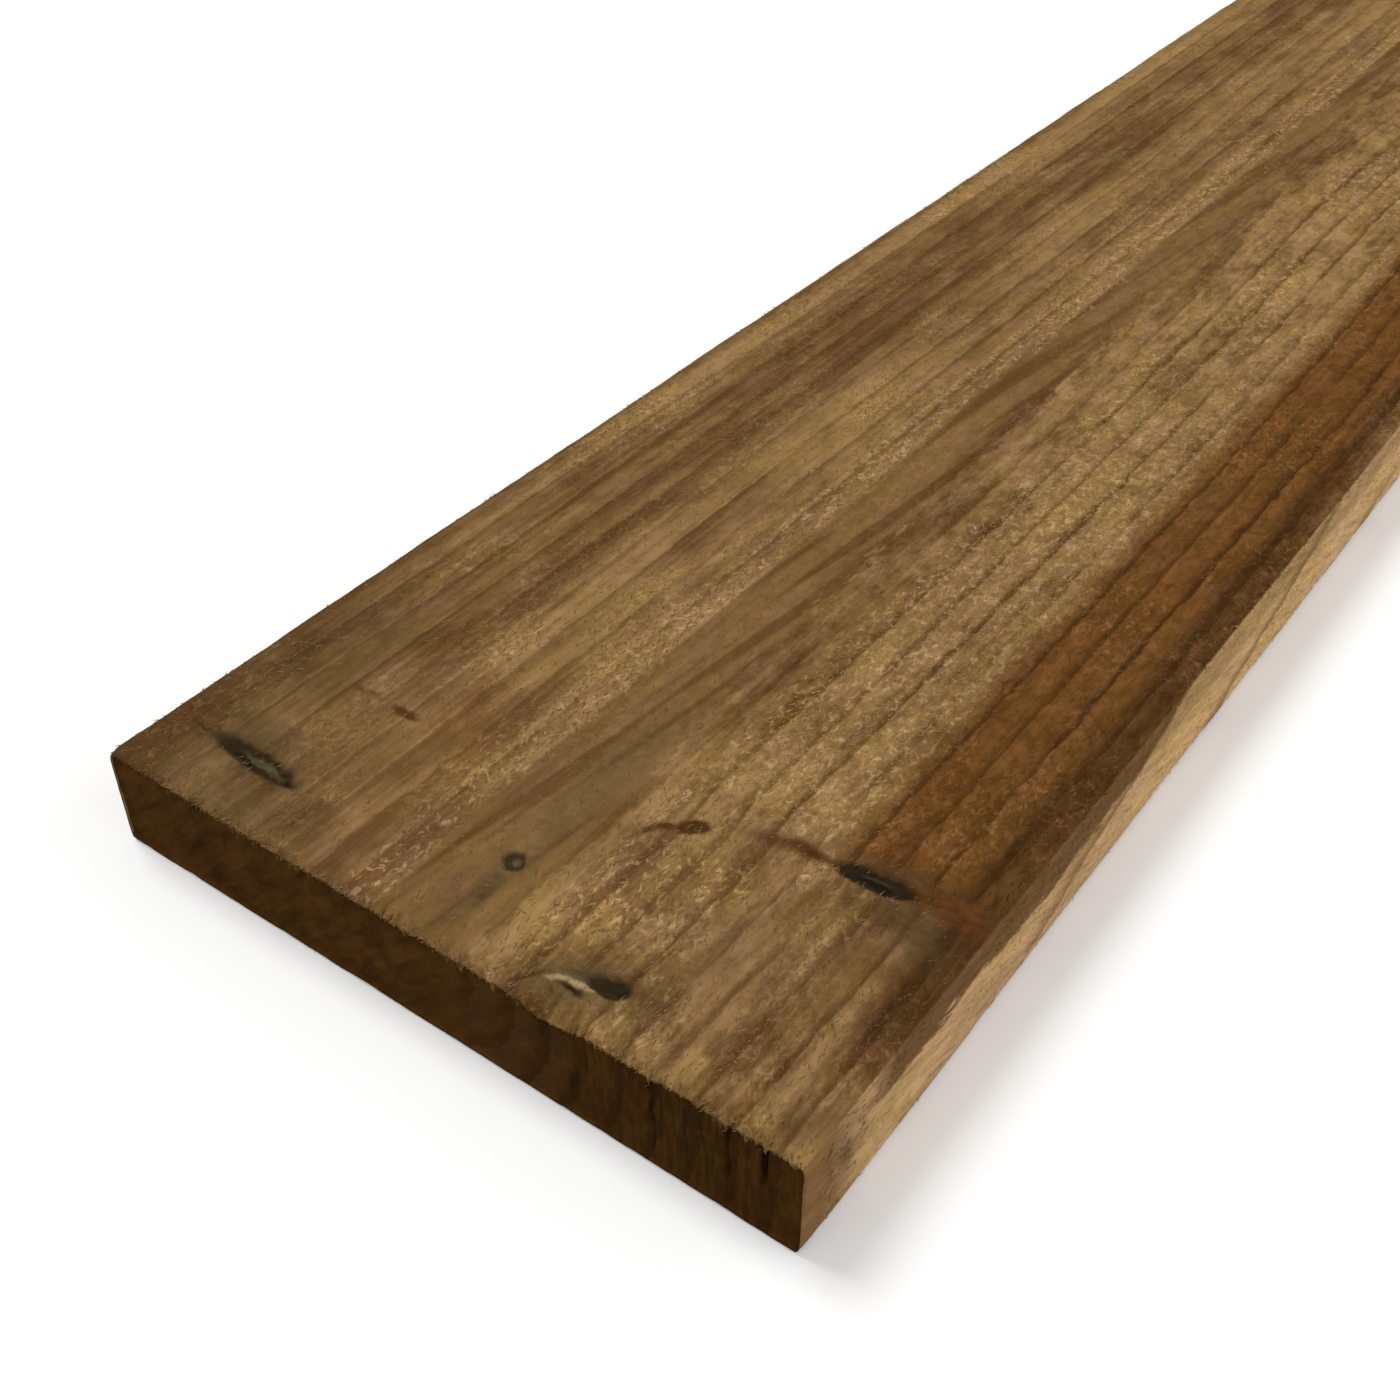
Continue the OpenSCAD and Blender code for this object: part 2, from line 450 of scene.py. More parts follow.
    def face_marks(self, kind):
        return self.marks(kind, FACE_MARKS, self.face_place) * self.depth.rise(*MARK_DEPTHS)

    def edge_marks(self, kind):
        return self.marks(kind, EDGE_MARKS, self.edge_place) * self.across.rise(WIDTH - 4.0, WIDTH - 2.0)

    def end_gap_shade(self):
        return self.marks("dark", END_GAP_SHADES, self.end_place) * self.along.rise(CHECK_REACH, 0.0)


def linear(red, green, blue):
    """A colour as seen on screen, from 0 to 255, as linear light with full cover."""
    parts = [value / 255 for value in (red, green, blue)]
    parts = [part / 12.92 if part < 0.04045 else ((part + 0.055) / 1.055) ** 2.4 for part in parts]
    return (*parts, 1.0)


def number_property(name, description, default):
    return bpy.props.FloatProperty(name=name, description=description, default=default)


def length_property(name, description, default):
    return bpy.props.FloatProperty(
        name=name, description=description, default=default, unit="LENGTH", precision=4
    )


def colour_property(name, description, red, green, blue):
    default = linear(red, green, blue)
    return bpy.props.FloatVectorProperty(
        name=name, description=description, default=default, size=4, subtype="COLOR", min=0, max=1
    )


class PlankTimber(bpy.types.PropertyGroup):
    """Growth of the timber and the depth of its sawn surface."""

    ring_spacing: length_property("Ring spacing", "Growth of one year, across the rings", 0.0072)
    first_ring: length_property("First ring", "Radius of the ring that the others are counted from", 0.0103)
    pith_across: length_property("Pith across", "Distance of the pith from the left edge", 0.076)
    pith_depth: length_property("Pith depth", "Depth of the pith below the face at the sawn end", 0.005)
    relief: length_property("Relief", "Depth of the sawn texture", 0.0004)
    fibre_length: length_property("Fibre length", "Usual length of a raised fibre", 0.0013)
    fibre_thickness: length_property("Fibre thickness", "Usual radius of a fibre at its root", 0.00013)
    fibre_lift: number_property("Fibre lift", "Most that a fibre rises, as a slope", 0.40)
    fray: length_property("Fray", "Depth to which the end arris is torn", 0.0015)


class PlankColours(bpy.types.PropertyGroup):
    """Colours of the timber."""

    brown_wood: colour_property("Brown wood", "Early growth where the treatment soaked in", 87, 61, 33)
    pale_wood: colour_property("Pale wood", "Early growth, freshly worn", 155, 124, 79)
    line: colour_property("Ring line", "Late growth, in thin lines", 78, 50, 22)
    heart: colour_property("Heart stripe", "Reddish stripe by the right edge", 108, 70, 30)
    core: colour_property("Pith band", "Grey-brown wood about the pith", 120, 92, 56)
    flame: colour_property("Pith flame", "Darker streaks in the pith band", 92, 64, 34)
    edge: colour_property("Sawn edge", "Golden wood of the two long edges", 194, 160, 112)
    weathered: colour_property("Weathered edge", "Mauve-brown wood along the upper arris", 107, 77, 44)
    end: colour_property("End grain", "Dark wood of the sawn ends", 91, 60, 21)
    # Also mixed into the painted highlight on the tips of the tufts
    fuzz: colour_property("Raised fibres", "Pale tips of the torn fibres", 206, 180, 136)
    dark: colour_property("Knot", "Black bark and resin in a dead knot", 38, 31, 18)
    # Near-black painted shade in the gaps of the knots and in the checks and cracks of the sawn ends
    split: colour_property("Knot split", "Gap beside the dead wood of a knot", 20, 16, 9)
    sliver: colour_property("Knot sliver", "Grey-green wood inside a dead knot", 88, 79, 53)
    pale: colour_property("Knot edge", "Cream sliver beside a dead knot", 168, 146, 104)
    ash: colour_property("Ash", "Grey wood around a knot", 98, 80, 50)
    stain: colour_property("Stain", "Grey-brown stain around a knot", 78, 58, 34)
    rust: colour_property("Rust", "Reddish resin beside a knot", 90, 53, 24)


class PlankStage(bpy.types.PropertyGroup):
    """Light and floor."""

    key: number_property("Key light", "Light from the right, as it falls on level ground", 0.27)
    fill: number_property("Fill light", "Light from the left, as it falls on level ground", 0.40)
    front: number_property("Front light", "Light from the sawn end, as it falls on level ground", 0.18)
    dome: number_property("Dome light", "Light from all round", 0.19)
    floor: colour_property("Floor", "Colour of the floor as the camera sees it", 255, 255, 255)
    bounce: colour_property("Floor bounce", "Colour that the floor throws back on the plank", 150, 150, 150)


# Tints of the sawn wood, as factors of linear light
PINK_TINT = (1.03, 0.985, 1.05, 1.0)
GOLD_TINT = (1.00, 0.98, 0.88, 1.0)
PALE_TINT = (1.20, 1.18, 1.24, 1.0)
DEEP_TINT = (0.80, 0.77, 0.62, 1.0)

# Ramps from where a thing has no effect to where it has its full effect. These are in millimetres, across the
# face from its left edge
PALE_STRIP = ((56.3, 57.7), (65.0, 63.6))
PITH_BAND = ((62.0, 66.0), (86.0, 82.0))
RIGHT_HALF = (62.0, 90.0)
FUZZY_WOOD = ((54.0, 60.0), (122.0, 116.0))
GOLDEN_WOOD = ((85.0, 95.0), (126.5, 116.5))
HEART_STRIPE = (115.5, 124.0)
RIGHT_ARRIS = (139.0, 144.5)
LEFT_CORNER = (15.0, 7.0)
END_SWIRL = ((79.0, 89.0), (109.0, 99.0))
END_RIGHT = (92.0, 118.0)
END_LEFT = (60.0, 20.0)

# Ramps along the board from the sawn end, in millimetres
BEHIND_WHORL = (50.0, 62.0)
HEART_START = (52.0, 60.0)
HEART_FADE = (140.0, 300.0)
RIGHT_ARRIS_START = (10.0, 30.0)
BLOTCH_FADE = (130.0, 220.0)
EDGE_FRONT = (22.0, 6.0)
EDGE_WEATHER_START = (13.0, 27.0)
EDGE_RINGS_START = (60.0, 80.0)
EDGE_BEYOND = (190.0, 300.0)
EDGE_BRIGHT = (100.0, 125.0)

# Ramps of a grain's noise, which is mostly between 0.3 and 0.7
WARM_PART = (0.40, 0.62)
FLAKE_TOPS = (0.50, 0.62)
FLAKE_GAPS = (0.49, 0.37)
FLAME_GAPS = (0.50, 0.40)
STRIPE_PATCHES = (0.30, 0.55)
TORN_PATCHES = (0.36, 0.64)
# Tufts get a painted highlight on their tips and painted shade in the gaps between them
TUFT_HIGHLIGHTS = (0.54, 0.67)
TUFT_GAP_SHADE = (0.46, 0.32)
SPLINTER_GAPS = (0.47, 0.34)
END_RUST = (0.54, 0.66)
PALE_FIBRES = (0.50, 0.66)

# Ramps of a year's growth on the sawn ends, and the brightness of its dark part
EARLY_GROWTH = (0.75, 0.35)
LATE_GROWTH = (0.50, 0.93)
END_RING_SHADE = 0.30

# Shades of the wood: a base, and how much each of its grains or places adds
SHADES = {
    "blotch contrast": (1.2, -0.4),
    "cloud contrast": (0.65, 0.35),
    "tuft contrast": (0.6075, 0.54),
    "pith band": (0.34, 0.80, 0.52),
    "heart stripe": (0.34, 0.55, 0.70, -0.46, -0.20),
    "line boldness": (0.62, 0.38),
    "line strength": (0.35, 0.65),
    "stripe line": (1.0, -0.35),
    "line cover": (0.74, 0.26),
    "painted tuft highlight": (0.08, 0.22),
    "flakes": (0.40, 0.45),
    "flakes behind the whorl": (0.60, 0.40),
    "grime": (0.3, 1.4),
    "edge brightness": (1.0, 0.14),
    "edge": (0.12, 0.80, 0.56, 0.38),
    "edge front": (0.72, 0.7),
    "weathered edge": (0.24, 0.64, 0.50),
    "weathered rings": (1.0, -0.55),
    "weathered sides": (0.35, 0.65),
    "end": (-0.38, 0.9, 1.7, -0.10),
    "end ring": (0.14, 0.26, 0.40),
    "painted end rim shade": (1.0, -0.6),
    "face fibre": (0.40, 0.40),
    "face fibre side": (1.0, -0.45),
    "fibre": (0.62, 0.76),
}

# How fully a layer covers the colour below it
COVER = {
    "pith band": 0.92,
    "flame": 0.80,
    "heart stripe": 0.88,
    "painted tuft highlight": 0.80,
    "painted tuft gap shade": 0.30,
    "edge ring": 0.62,
    "edge front": 0.80,
    "edge fibre front": 0.85,
    "weathered edge": 0.90,
    "splinter gap": 0.30,
    "edge flakes": 0.45,
    "end rust": 0.22,
    "end swirl": 0.50,
}

# Turns of the leaning grains, in radians
FLAME_LEAN = -0.095
EDGE_SLANT = 0.33
SAW_LEAN = math.pi / 4

# Parts of the face that are paler or darker than the rest: ramps across and along, and the change of tone
Zone = namedtuple("Zone", "name across along change")
TONE_ZONES = (
    Zone("left arris", ((6.0, 1.0),), (), -0.22),
    Zone("left corner", (LEFT_CORNER,), ((28.0, 16.0),), -0.50),
    Zone("left arris further back", ((13.0, 6.0),), ((78.0, 96.0),), 0.34),
    Zone("streaks inside the left edge", ((12.0, 18.0), (35.0, 29.0)), (BEHIND_WHORL,), -0.16),
    Zone("pale wood left of the strip", ((32.0, 38.0), (60.5, 54.5)), (BEHIND_WHORL,), 0.15),
    Zone("wood behind the left knot", ((62.0, 50.0),), ((11.0, 29.0), (65.0, 47.0)), -0.10),
    Zone("front of the left half", ((70.0, 58.0),), ((15.0, 8.0),), -0.12),
    Zone("pale strip", PALE_STRIP, ((15.0, 40.0),), 0.25),
    Zone("wood right of the pith band", ((80.0, 84.0), (93.0, 89.0)), ((30.0, 45.0),), 0.22),
    Zone("the same further back", ((78.0, 84.0), (93.0, 87.0)), ((100.0, 112.0), (180.0, 150.0)), -0.28),
    Zone("golden wood", GOLDEN_WOOD, (BEHIND_WHORL,), 0.24),
    Zone("golden wood by the whorl", GOLDEN_WOOD, (BEHIND_WHORL, (80.0, 62.0)), 0.12),
    Zone("front of the right half", ((108.0, 116.0),), ((11.0, 7.0),), 0.14),
    Zone("front of the right knot", ((128.0, 136.0), (146.0, 138.0)), ((18.0, 30.0), (59.0, 47.0)), -0.25),
)
# Tones that show as brown wood and as pale wood
TONE_RANGE = (-0.12, 1.12)
MIDDLE_TONE = 0.5
STREAK_CONTRAST = 0.75
GROWTH_CONTRAST = 0.22
# Limits of the pith band: across from the left edge, with a lean along the board, and left of the pith
BAND_RIGHT = (86.5, 82.5)
BAND_LEAN = 0.03
BAND_LEFT = (-13.0, -12.0)
# How ragged these limits are, in millimetres
BAND_RIGHT_RAGGED = 16.0
BAND_LEFT_RAGGED = 1.2


def shade(name, *parts):
    """One of the shades, from its parts."""
    base, *weights = SHADES[name]
    for weight, part in zip(weights, parts, strict=True):
        base = base + weight * part
    return base


def dyed(nodes, colour, tint):
    """A colour times a tint."""
    return nodes.mix(1.0, colour, tint, "MULTIPLY")


def tinted(nodes, colour, factor):
    """A colour made lighter or darker by a value about 1."""
    return dyed(nodes, colour, nodes.grey(factor))


def flaked(nodes, figure, colour, amount):
    """Small flakes that the saw left: pale on top and deeper between them, some pinkish and some golden."""
    flake = figure.grain("flake")
    warm = figure.grain("warmth").rise(*WARM_PART)
    colour = nodes.mix(warm, dyed(nodes, colour, GOLD_TINT), dyed(nodes, colour, PINK_TINT))
    pale = dyed(nodes, colour, PALE_TINT)
    deep = dyed(nodes, colour, DEEP_TINT)
    colour = nodes.mix(flake.rise(*FLAKE_TOPS) * amount, colour, pale)
    return nodes.mix(flake.rise(*FLAKE_GAPS) * amount, colour, deep)


def face_tone(figure, mottle, streak):
    """How pale the sawn face is at each place: about 0 where it is brown and about 1 where it is pale."""
    right_half = figure.across.rise(*RIGHT_HALF)
    blotches = shade("blotch contrast", figure.along.rise(*BLOTCH_FADE)) * (figure.grain("blotch") - 0.5)
    clouds = shade("cloud contrast", right_half) * (figure.grain("cloud") - 0.5)
    tufts = shade("tuft contrast", right_half) * (mottle - 0.5)
    tone = MIDDLE_TONE + blotches + clouds + tufts + STREAK_CONTRAST * (streak - 0.5)
    # Each year's growth darkens towards its end
    tone = tone - GROWTH_CONTRAST * figure.growth * figure.growth
    for zone in TONE_ZONES:
        tone = tone + figure.zone(zone.across, zone.along) * zone.change
    return tone


def pith_band(nodes, figure, colours, mottle):
    """Grey-brown wood about the pith, with flames that lean: its colour, and its share of the face."""
    flame = figure.grain("flame", nodes.turned(figure.place, z=FLAME_LEAN))
    colour = tinted(nodes, colours.core, shade("pith band", flame, mottle))
    colour = nodes.mix(flame.rise(*FLAME_GAPS) * COVER["flame"], colour, colours.flame)
    ragged = mottle - 0.5
    right = figure.across + BAND_RIGHT_RAGGED * ragged + BAND_LEAN * figure.along
    left = figure.sideways + BAND_LEFT_RAGGED * ragged
    return colour, left.rise(*BAND_LEFT) * right.rise(*BAND_RIGHT) * COVER["pith band"]


def heart_stripe(nodes, figure, colours, mottle, streak):
    """Reddish stripe inside the right edge: its colour, and its share of the face."""
    dark_side = figure.zone((RIGHT_ARRIS,), (RIGHT_ARRIS_START,))
    lasting = figure.along.rise(*HEART_START).most(dark_side)
    patchy = figure.grain("stripe").rise(*STRIPE_PATCHES)
    kept = 1 - figure.along.rise(*HEART_FADE) * (1 - patchy)
    tone = shade("heart stripe", streak, mottle, dark_side, figure.growth)
    return tinted(nodes, colours.heart, tone), figure.across.rise(*HEART_STRIPE) * lasting * kept


def face_colour(nodes, figure, colours, mottle, streak):
    """Colour of the sawn face with its growth rings, before it is torn."""
    tone = face_tone(figure, mottle, streak)
    colour = nodes.mix(tone.rise(*TONE_RANGE), colours.brown_wood, colours.pale_wood)
    core, band = pith_band(nodes, figure, colours, mottle)
    colour = nodes.mix(band, colour, core)
    heart, stripe = heart_stripe(nodes, figure, colours, mottle, streak)
    colour = nodes.mix(stripe * COVER["heart stripe"], colour, heart)
    # The ring lines are darkest in the stripe
    line = tinted(nodes, colours.line, shade("stripe line", stripe))
    return nodes.mix(figure.late_line() * shade("line cover", stripe), colour, line)


# Places where the saw tore up most of the face, as ramps across and along
TORN_STRIP = ((56.2, 57.8), (65.1, 63.5))
TORN_GOLDEN = ((83.0, 93.0), (127.0, 117.0))
TORN_GOLDEN_END = (320.0, 180.0)
# Radius about the pith inside which the wood stayed smoother, and by how much
SMOOTH_RADIUS = (13.0, 12.0)
SMOOTHNESS = 0.8
# Gain of the painted highlight on the tip of a tuft, beside the wood round it
TUFT_HIGHLIGHT_GAIN = 1.40


def torn_patches(figure):
    """Patches that the saw tore up: 0 where the face is smooth, and 1 where it is torn."""
    patch = figure.grain("torn patch").rise(*TORN_PATCHES)
    patch = patch.most(figure.zone(TORN_STRIP))
    patch = patch.most(figure.zone(TORN_GOLDEN, (BEHIND_WHORL, TORN_GOLDEN_END)))
    return patch * (1 - SMOOTHNESS * figure.radius.rise(*SMOOTH_RADIUS))


def torn_face(nodes, figure, colours, mottle, streak, tuft):
    """Colour of the sawn face: torn grain, painted highlight and shade on its tufts, and flakes, before its
    marks.
    """
    patch = torn_patches(figure)
    colour = face_colour(nodes, figure, colours, mottle, streak)
    # Painted highlight on the tips of the tufts, partly the pale colour of raised fibres, and painted shade
    # in the gaps
    fuzz = shade("painted tuft highlight", figure.zone(FUZZY_WOOD))
    lighter = nodes.mix(fuzz, tinted(nodes, colour, TUFT_HIGHLIGHT_GAIN), colours.fuzz)
    colour = nodes.mix(patch * tuft.rise(*TUFT_HIGHLIGHTS) * COVER["painted tuft highlight"], colour, lighter)
    colour = nodes.mix(patch * tuft.rise(*TUFT_GAP_SHADE) * COVER["painted tuft gap shade"], colour, colours.line)
    amount = shade("flakes", figure.across.rise(*RIGHT_HALF))
    amount = amount * shade("flakes behind the whorl", figure.along.rise(*BEHIND_WHORL))
    return flaked(nodes, figure, colour, amount)


MARK_KINDS = ("ash", "stain", "rust", "line", "dark", "sliver", "pale", "split")


def marked_face(nodes, figure, colours, colour):
    """The face's colour with its knots, stains and splits, the splits in painted shade, each speckled with
    grime.
    """
    colour = tinted(nodes, colour, 1 + figure.face_marks("light") - figure.face_marks("deep"))
    speckled = shade("grime", figure.grain("grime"))
    for kind in MARK_KINDS:
        paint = tinted(nodes, getattr(colours, kind), speckled)
        colour = nodes.mix(figure.face_marks(kind), colour, paint)
    return colour


# Rings on the long edges, in millimetres along the board, and how far they lean for each millimetre of depth
EDGE_RING_SPACING = 84.0
EDGE_RING_START = 130.0
RIGHT_LEAN = 2.75
LEFT_LEAN = -1.9
# How far blotches shift the rings, and how far the rings wander further back, in millimetres
EDGE_RING_SHIFT = 16.0
EDGE_RING_WANDER = 90.0
# Shares of a ring over which its dark line begins and ends, and where it fades
EDGE_LINE_START = (0.78, 0.97)
EDGE_LINE_END = (0.999, 0.98)
EDGE_LINE_FADE = (0.35, 0.6)
# Usual depth to which the edge is weathered below the face, how far blotches, mottle and splinters
# shift that, and how softly it ends, in millimetres
WEATHERED_DEPTH = 7.4
BLOTCH_SHIFT = 12.0
MOTTLE_SHIFT = 6.0
SPLINTER_SHIFT = 5.0
WEATHERED_RIM = (0.9, -0.9)
# Rings from the first over which the weathering gets fainter
FIRST_RING = (-0.02, 0.06)
# Brightness of the gaps between splinters
SPLINTER_SHADE = 0.9


def edge_rings(figure, right_side, blotch):
    """Rings that cross the long edges at a slant, counted from the first, and the dark line of each."""
    lean = LEFT_LEAN + (RIGHT_LEAN - LEFT_LEAN) * right_side
    beyond = figure.along.rise(*EDGE_BEYOND)
    warp = EDGE_RING_SHIFT * (blotch - 0.5)
    warp = warp + beyond * EDGE_RING_WANDER * (figure.grain("edge warp") - 0.5)
    rings = (figure.along + lean * figure.depth - EDGE_RING_START + warp) / EDGE_RING_SPACING
    growth = rings.part()
    line = growth.rise(*EDGE_LINE_START) * growth.rise(*EDGE_LINE_END)
    fading = figure.grain("edge fade").rise(*EDGE_LINE_FADE)
    return rings, line * figure.along.rise(*EDGE_RINGS_START) * (1 - beyond * (1 - fading))


def edge_colour(nodes, figure, colours, mottle):
    """Golden wood of the long edges, crossed by slanting rings and weathered along the upper arris."""
    along = figure.along
    slant = nodes.turned(figure.place, y=EDGE_SLANT)
    streak = figure.grain("edge streak", slant)
    splinter = figure.grain("splinter", slant)
    blotch = figure.grain("edge blotch")
    right_side = figure.across.rise(WIDTH * 0.45, WIDTH * 0.55)
    bright = shade("edge brightness", along.rise(*EDGE_BRIGHT))
    colour = tinted(nodes, colours.edge, bright * shade("edge", streak, blotch, mottle))
    rings, line = edge_rings(figure, right_side, blotch)
    colour = nodes.mix(line * COVER["edge ring"], colour, colours.weathered)
    front = tinted(nodes, colours.weathered, shade("edge front", mottle))
    colour = nodes.mix(along.rise(*EDGE_FRONT) * COVER["edge front"], colour, front)
    # The weathered band ends raggedly below, and it is fainter behind the first ring and on the left edge
    reach = WEATHERED_DEPTH + BLOTCH_SHIFT * (blotch - 0.5) + MOTTLE_SHIFT * (mottle - 0.5)
    reach = reach + SPLINTER_SHIFT * (splinter - 0.5)
    upper = (figure.depth - reach).rise(*WEATHERED_RIM) * along.rise(*EDGE_WEATHER_START)
    upper = upper * shade("weathered rings", rings.rise(*FIRST_RING)) * shade("weathered sides", right_side)
    weathered = tinted(nodes, colours.weathered, shade("weathered edge", streak, mottle))
    colour = nodes.mix(upper * COVER["weathered edge"], colour, weathered)
    gaps = tinted(nodes, colours.weathered, SPLINTER_SHADE)
    colour = nodes.mix(splinter.rise(*SPLINTER_GAPS) * COVER["splinter gap"], colour, gaps)
    colour = nodes.mix(figure.edge_marks("ash"), colour, colours.ash)
    return flaked(nodes, figure, colour, COVER["edge flakes"])


def end_colour(nodes, figure, colours):
    """Dark end grain: saw marks that lean on the left, and rings that stand upright on the right."""
    blotch = figure.grain("end blotch")
    saw = figure.grain("saw mark", nodes.turned(figure.place, x=SAW_LEAN))
    tear = figure.grain("end tear")
    right_side = figure.across.rise(*END_RIGHT)
    grain = saw + right_side * (tear - saw)
    colour = tinted(nodes, colours.end, shade("end", blotch, grain, right_side))
    reddish = blotch.rise(*END_RUST) * figure.across.rise(*END_LEFT)
    colour = nodes.mix(reddish * COVER["end rust"], colour, colours.rust)
    # Rings show best in the swirl below the end knot
    swirl = figure.zone(END_SWIRL)
    early = figure.growth.rise(*EARLY_GROWTH) * swirl
    colour = nodes.mix(early * COVER["end swirl"], colour, colours.flame)
    late = figure.growth.rise(*LATE_GROWTH) * shade("end ring", swirl, right_side)
    colour = nodes.mix(late, colour, tinted(nodes, colours.end, END_RING_SHADE))
    # Painted shade in the checks and cracks of the end
    return nodes.mix(figure.end_gap_shade(), colour, colours.split)


# Dry wood, without a sheen
WOOD_ROUGHNESS = 0.85
WOOD_SPECULAR = 0.03
# Height of the finest grain, in millimetres
STREAK_HEIGHT = 0.22
MOTTLE_HEIGHT = 0.30
TUFT_HEIGHT = 0.26
# Usual length of the fringe of fibres that hangs over the end arris, in millimetres
FRINGE_LENGTH = 3.0


def empty_material(name):
    """A new material without nodes, and the means to add them."""
    material = bpy.data.materials.new(name)
    material.use_nodes = True
    material.node_tree.nodes.clear()
    return material, Nodes(material.node_tree)


def matt(nodes, colour, **inputs):
    """A shader of dry wood."""
    surface = {"Base Color": colour, "Roughness": WOOD_ROUGHNESS, "Specular IOR Level": WOOD_SPECULAR}
    return nodes.add("ShaderNodeBsdfPrincipled", surface | inputs)


def either(nodes, factor, first, second):
    """The first shader, turned into the second by the factor."""
    return nodes.add("ShaderNodeMixShader", {0: factor, 1: first, 2: second})


def end_share(figure, facing_x, facing_y, facing_z):
    """1 on the sawn ends and on the rims that they share, and 0 under the fringe of fibres from the face."""
    to_end = figure.along.least(LENGTH - figure.along)
    lower_rim = to_end.rise(6.0, 4.0) * facing_z.rise(-0.1, -0.4)
    left_rim = to_end.rise(3.0, 1.5) * facing_y.rise(0.2, 0.5)
    on_end = abs(facing_x).rise(0.35, 0.65).most(lower_rim).most(left_rim)
    fringe = figure.grain("fringe").rise(0.36, 0.70) * FRINGE_LENGTH
    return on_end * (figure.depth - fringe).rise(-0.3, 0.5)


def timber_material(name, colours, timber):
    """The plank's own material: its figure in colour, and its finest grain as bump."""
    material, nodes = empty_material(name)
    figure = Figure(nodes, nodes.add("ShaderNodeTexCoord", output="Object"), timber)
    facing_x, facing_y, facing_z = nodes.split(nodes.add("ShaderNodeTexCoord", output="Normal"))
    mottle, streak, tuft = [figure.grain(kind) for kind in ("mottle", "streak", "tuft")]
    height = STREAK_HEIGHT * streak + MOTTLE_HEIGHT * mottle + TUFT_HEIGHT * tuft
    bump = nodes.add("ShaderNodeBump", {"Strength": 1.0, "Distance": 1 / MM, "Height": height})
    # Each side of the board has a shader of its own, so that a render works out only the one that it meets
    plain = torn_face(nodes, figure, colours, mottle, streak, tuft)
    marked = marked_face(nodes, figure, colours, plain)
    edge = edge_colour(nodes, figure, colours, mottle)
    # Painted shade on the lower rim of the ends, darker where the surface faces down
    end = tinted(nodes, end_colour(nodes, figure, colours), shade("painted end rim shade", facing_z.rise(0.0, -0.6)))
    plain, marked, edge, end = [matt(nodes, colour, Normal=bump) for colour in (plain, marked, edge, end)]
    near = figure.along.rise(MARKED_LENGTH, MARKED_LENGTH - 2.0) * figure.depth.rise(7.5, 7.0)
    sides = either(nodes, abs(facing_y).rise(0.45, 0.85), either(nodes, near, plain, marked), edge)
    on_end = end_share(figure, facing_x, facing_y, facing_z)
    nodes.end("ShaderNodeOutputMaterial", either(nodes, on_end, sides, end))
    return material


# Steps round the section of the board at its sawn end
FACE_STEPS = 296
BACK_STEPS = 74
EDGE_STEPS = 25
ARRIS_STEPS = 4
ARRIS_RADIUS = 1.0


def section_loop():
    """Points round the section, in millimetres from the middle of the back, from the face's left end on."""
    across = WIDTH / 2 - ARRIS_RADIUS
    low, high = ARRIS_RADIUS, THICKNESS - ARRIS_RADIUS
    corners = ((-across, high, 90), (-across, low, 180), (across, low, 270), (across, high, 0))
    runs = (
        ((across, THICKNESS), (-across, THICKNESS), FACE_STEPS),
        ((-WIDTH / 2, high), (-WIDTH / 2, low), EDGE_STEPS),
        ((-across, 0.0), (across, 0.0), BACK_STEPS),
        ((WIDTH / 2, low), (WIDTH / 2, high), EDGE_STEPS),
    )
    points = []
    for (start, end, steps), (middle_y, middle_z, first) in zip(runs, corners):
        share = np.arange(steps)[:, None] / steps
        points.append(np.array(start) + share * (np.array(end) - np.array(start)))
        angle = np.radians(first + 90 * np.arange(ARRIS_STEPS) / ARRIS_STEPS)
        arc_y = middle_y + ARRIS_RADIUS * np.cos(angle)
        arc_z = middle_z + ARRIS_RADIUS * np.sin(angle)
        points.append(np.stack([arc_y, arc_z], 1))
    return np.concatenate(points)


def even_steps(start, end, step):
    return np.linspace(start, end, max(1, round((end - start) / step)) + 1)


def zip_rows(first, second, first_share, second_share):
    """Triangles between two rows of any number of vertices, matched by their shares of the row."""
    faces = []
    i, j = 0, 0
    while i < len(first) - 1 or j < len(second) - 1:
        step_first = j == len(second) - 1
        if not step_first and i < len(first) - 1:
            step_first = first_share[i + 1] <= second_share[j + 1]
        if step_first:
            faces.append((first[i], first[i + 1], second[j]))
            i += 1
        else:
            faces.append((first[i], second[j + 1], second[j]))
            j += 1
    return faces


def bridge_rings(front, back):
    """Triangles between two rings of vertices, of which one may have fewer points."""
    front = np.append(front, front[0])
    back = np.append(back, back[0])
    if len(front) != len(back):
        shares = [np.linspace(0, 1, len(row)) for row in (front, back)]
        return np.array(zip_rows(front, back, *shares))
    a, b, c, d = front[:-1], front[1:], back[1:], back[:-1]
    return np.concatenate([np.stack([a, b, c], 1), np.stack([a, c, d], 1)])


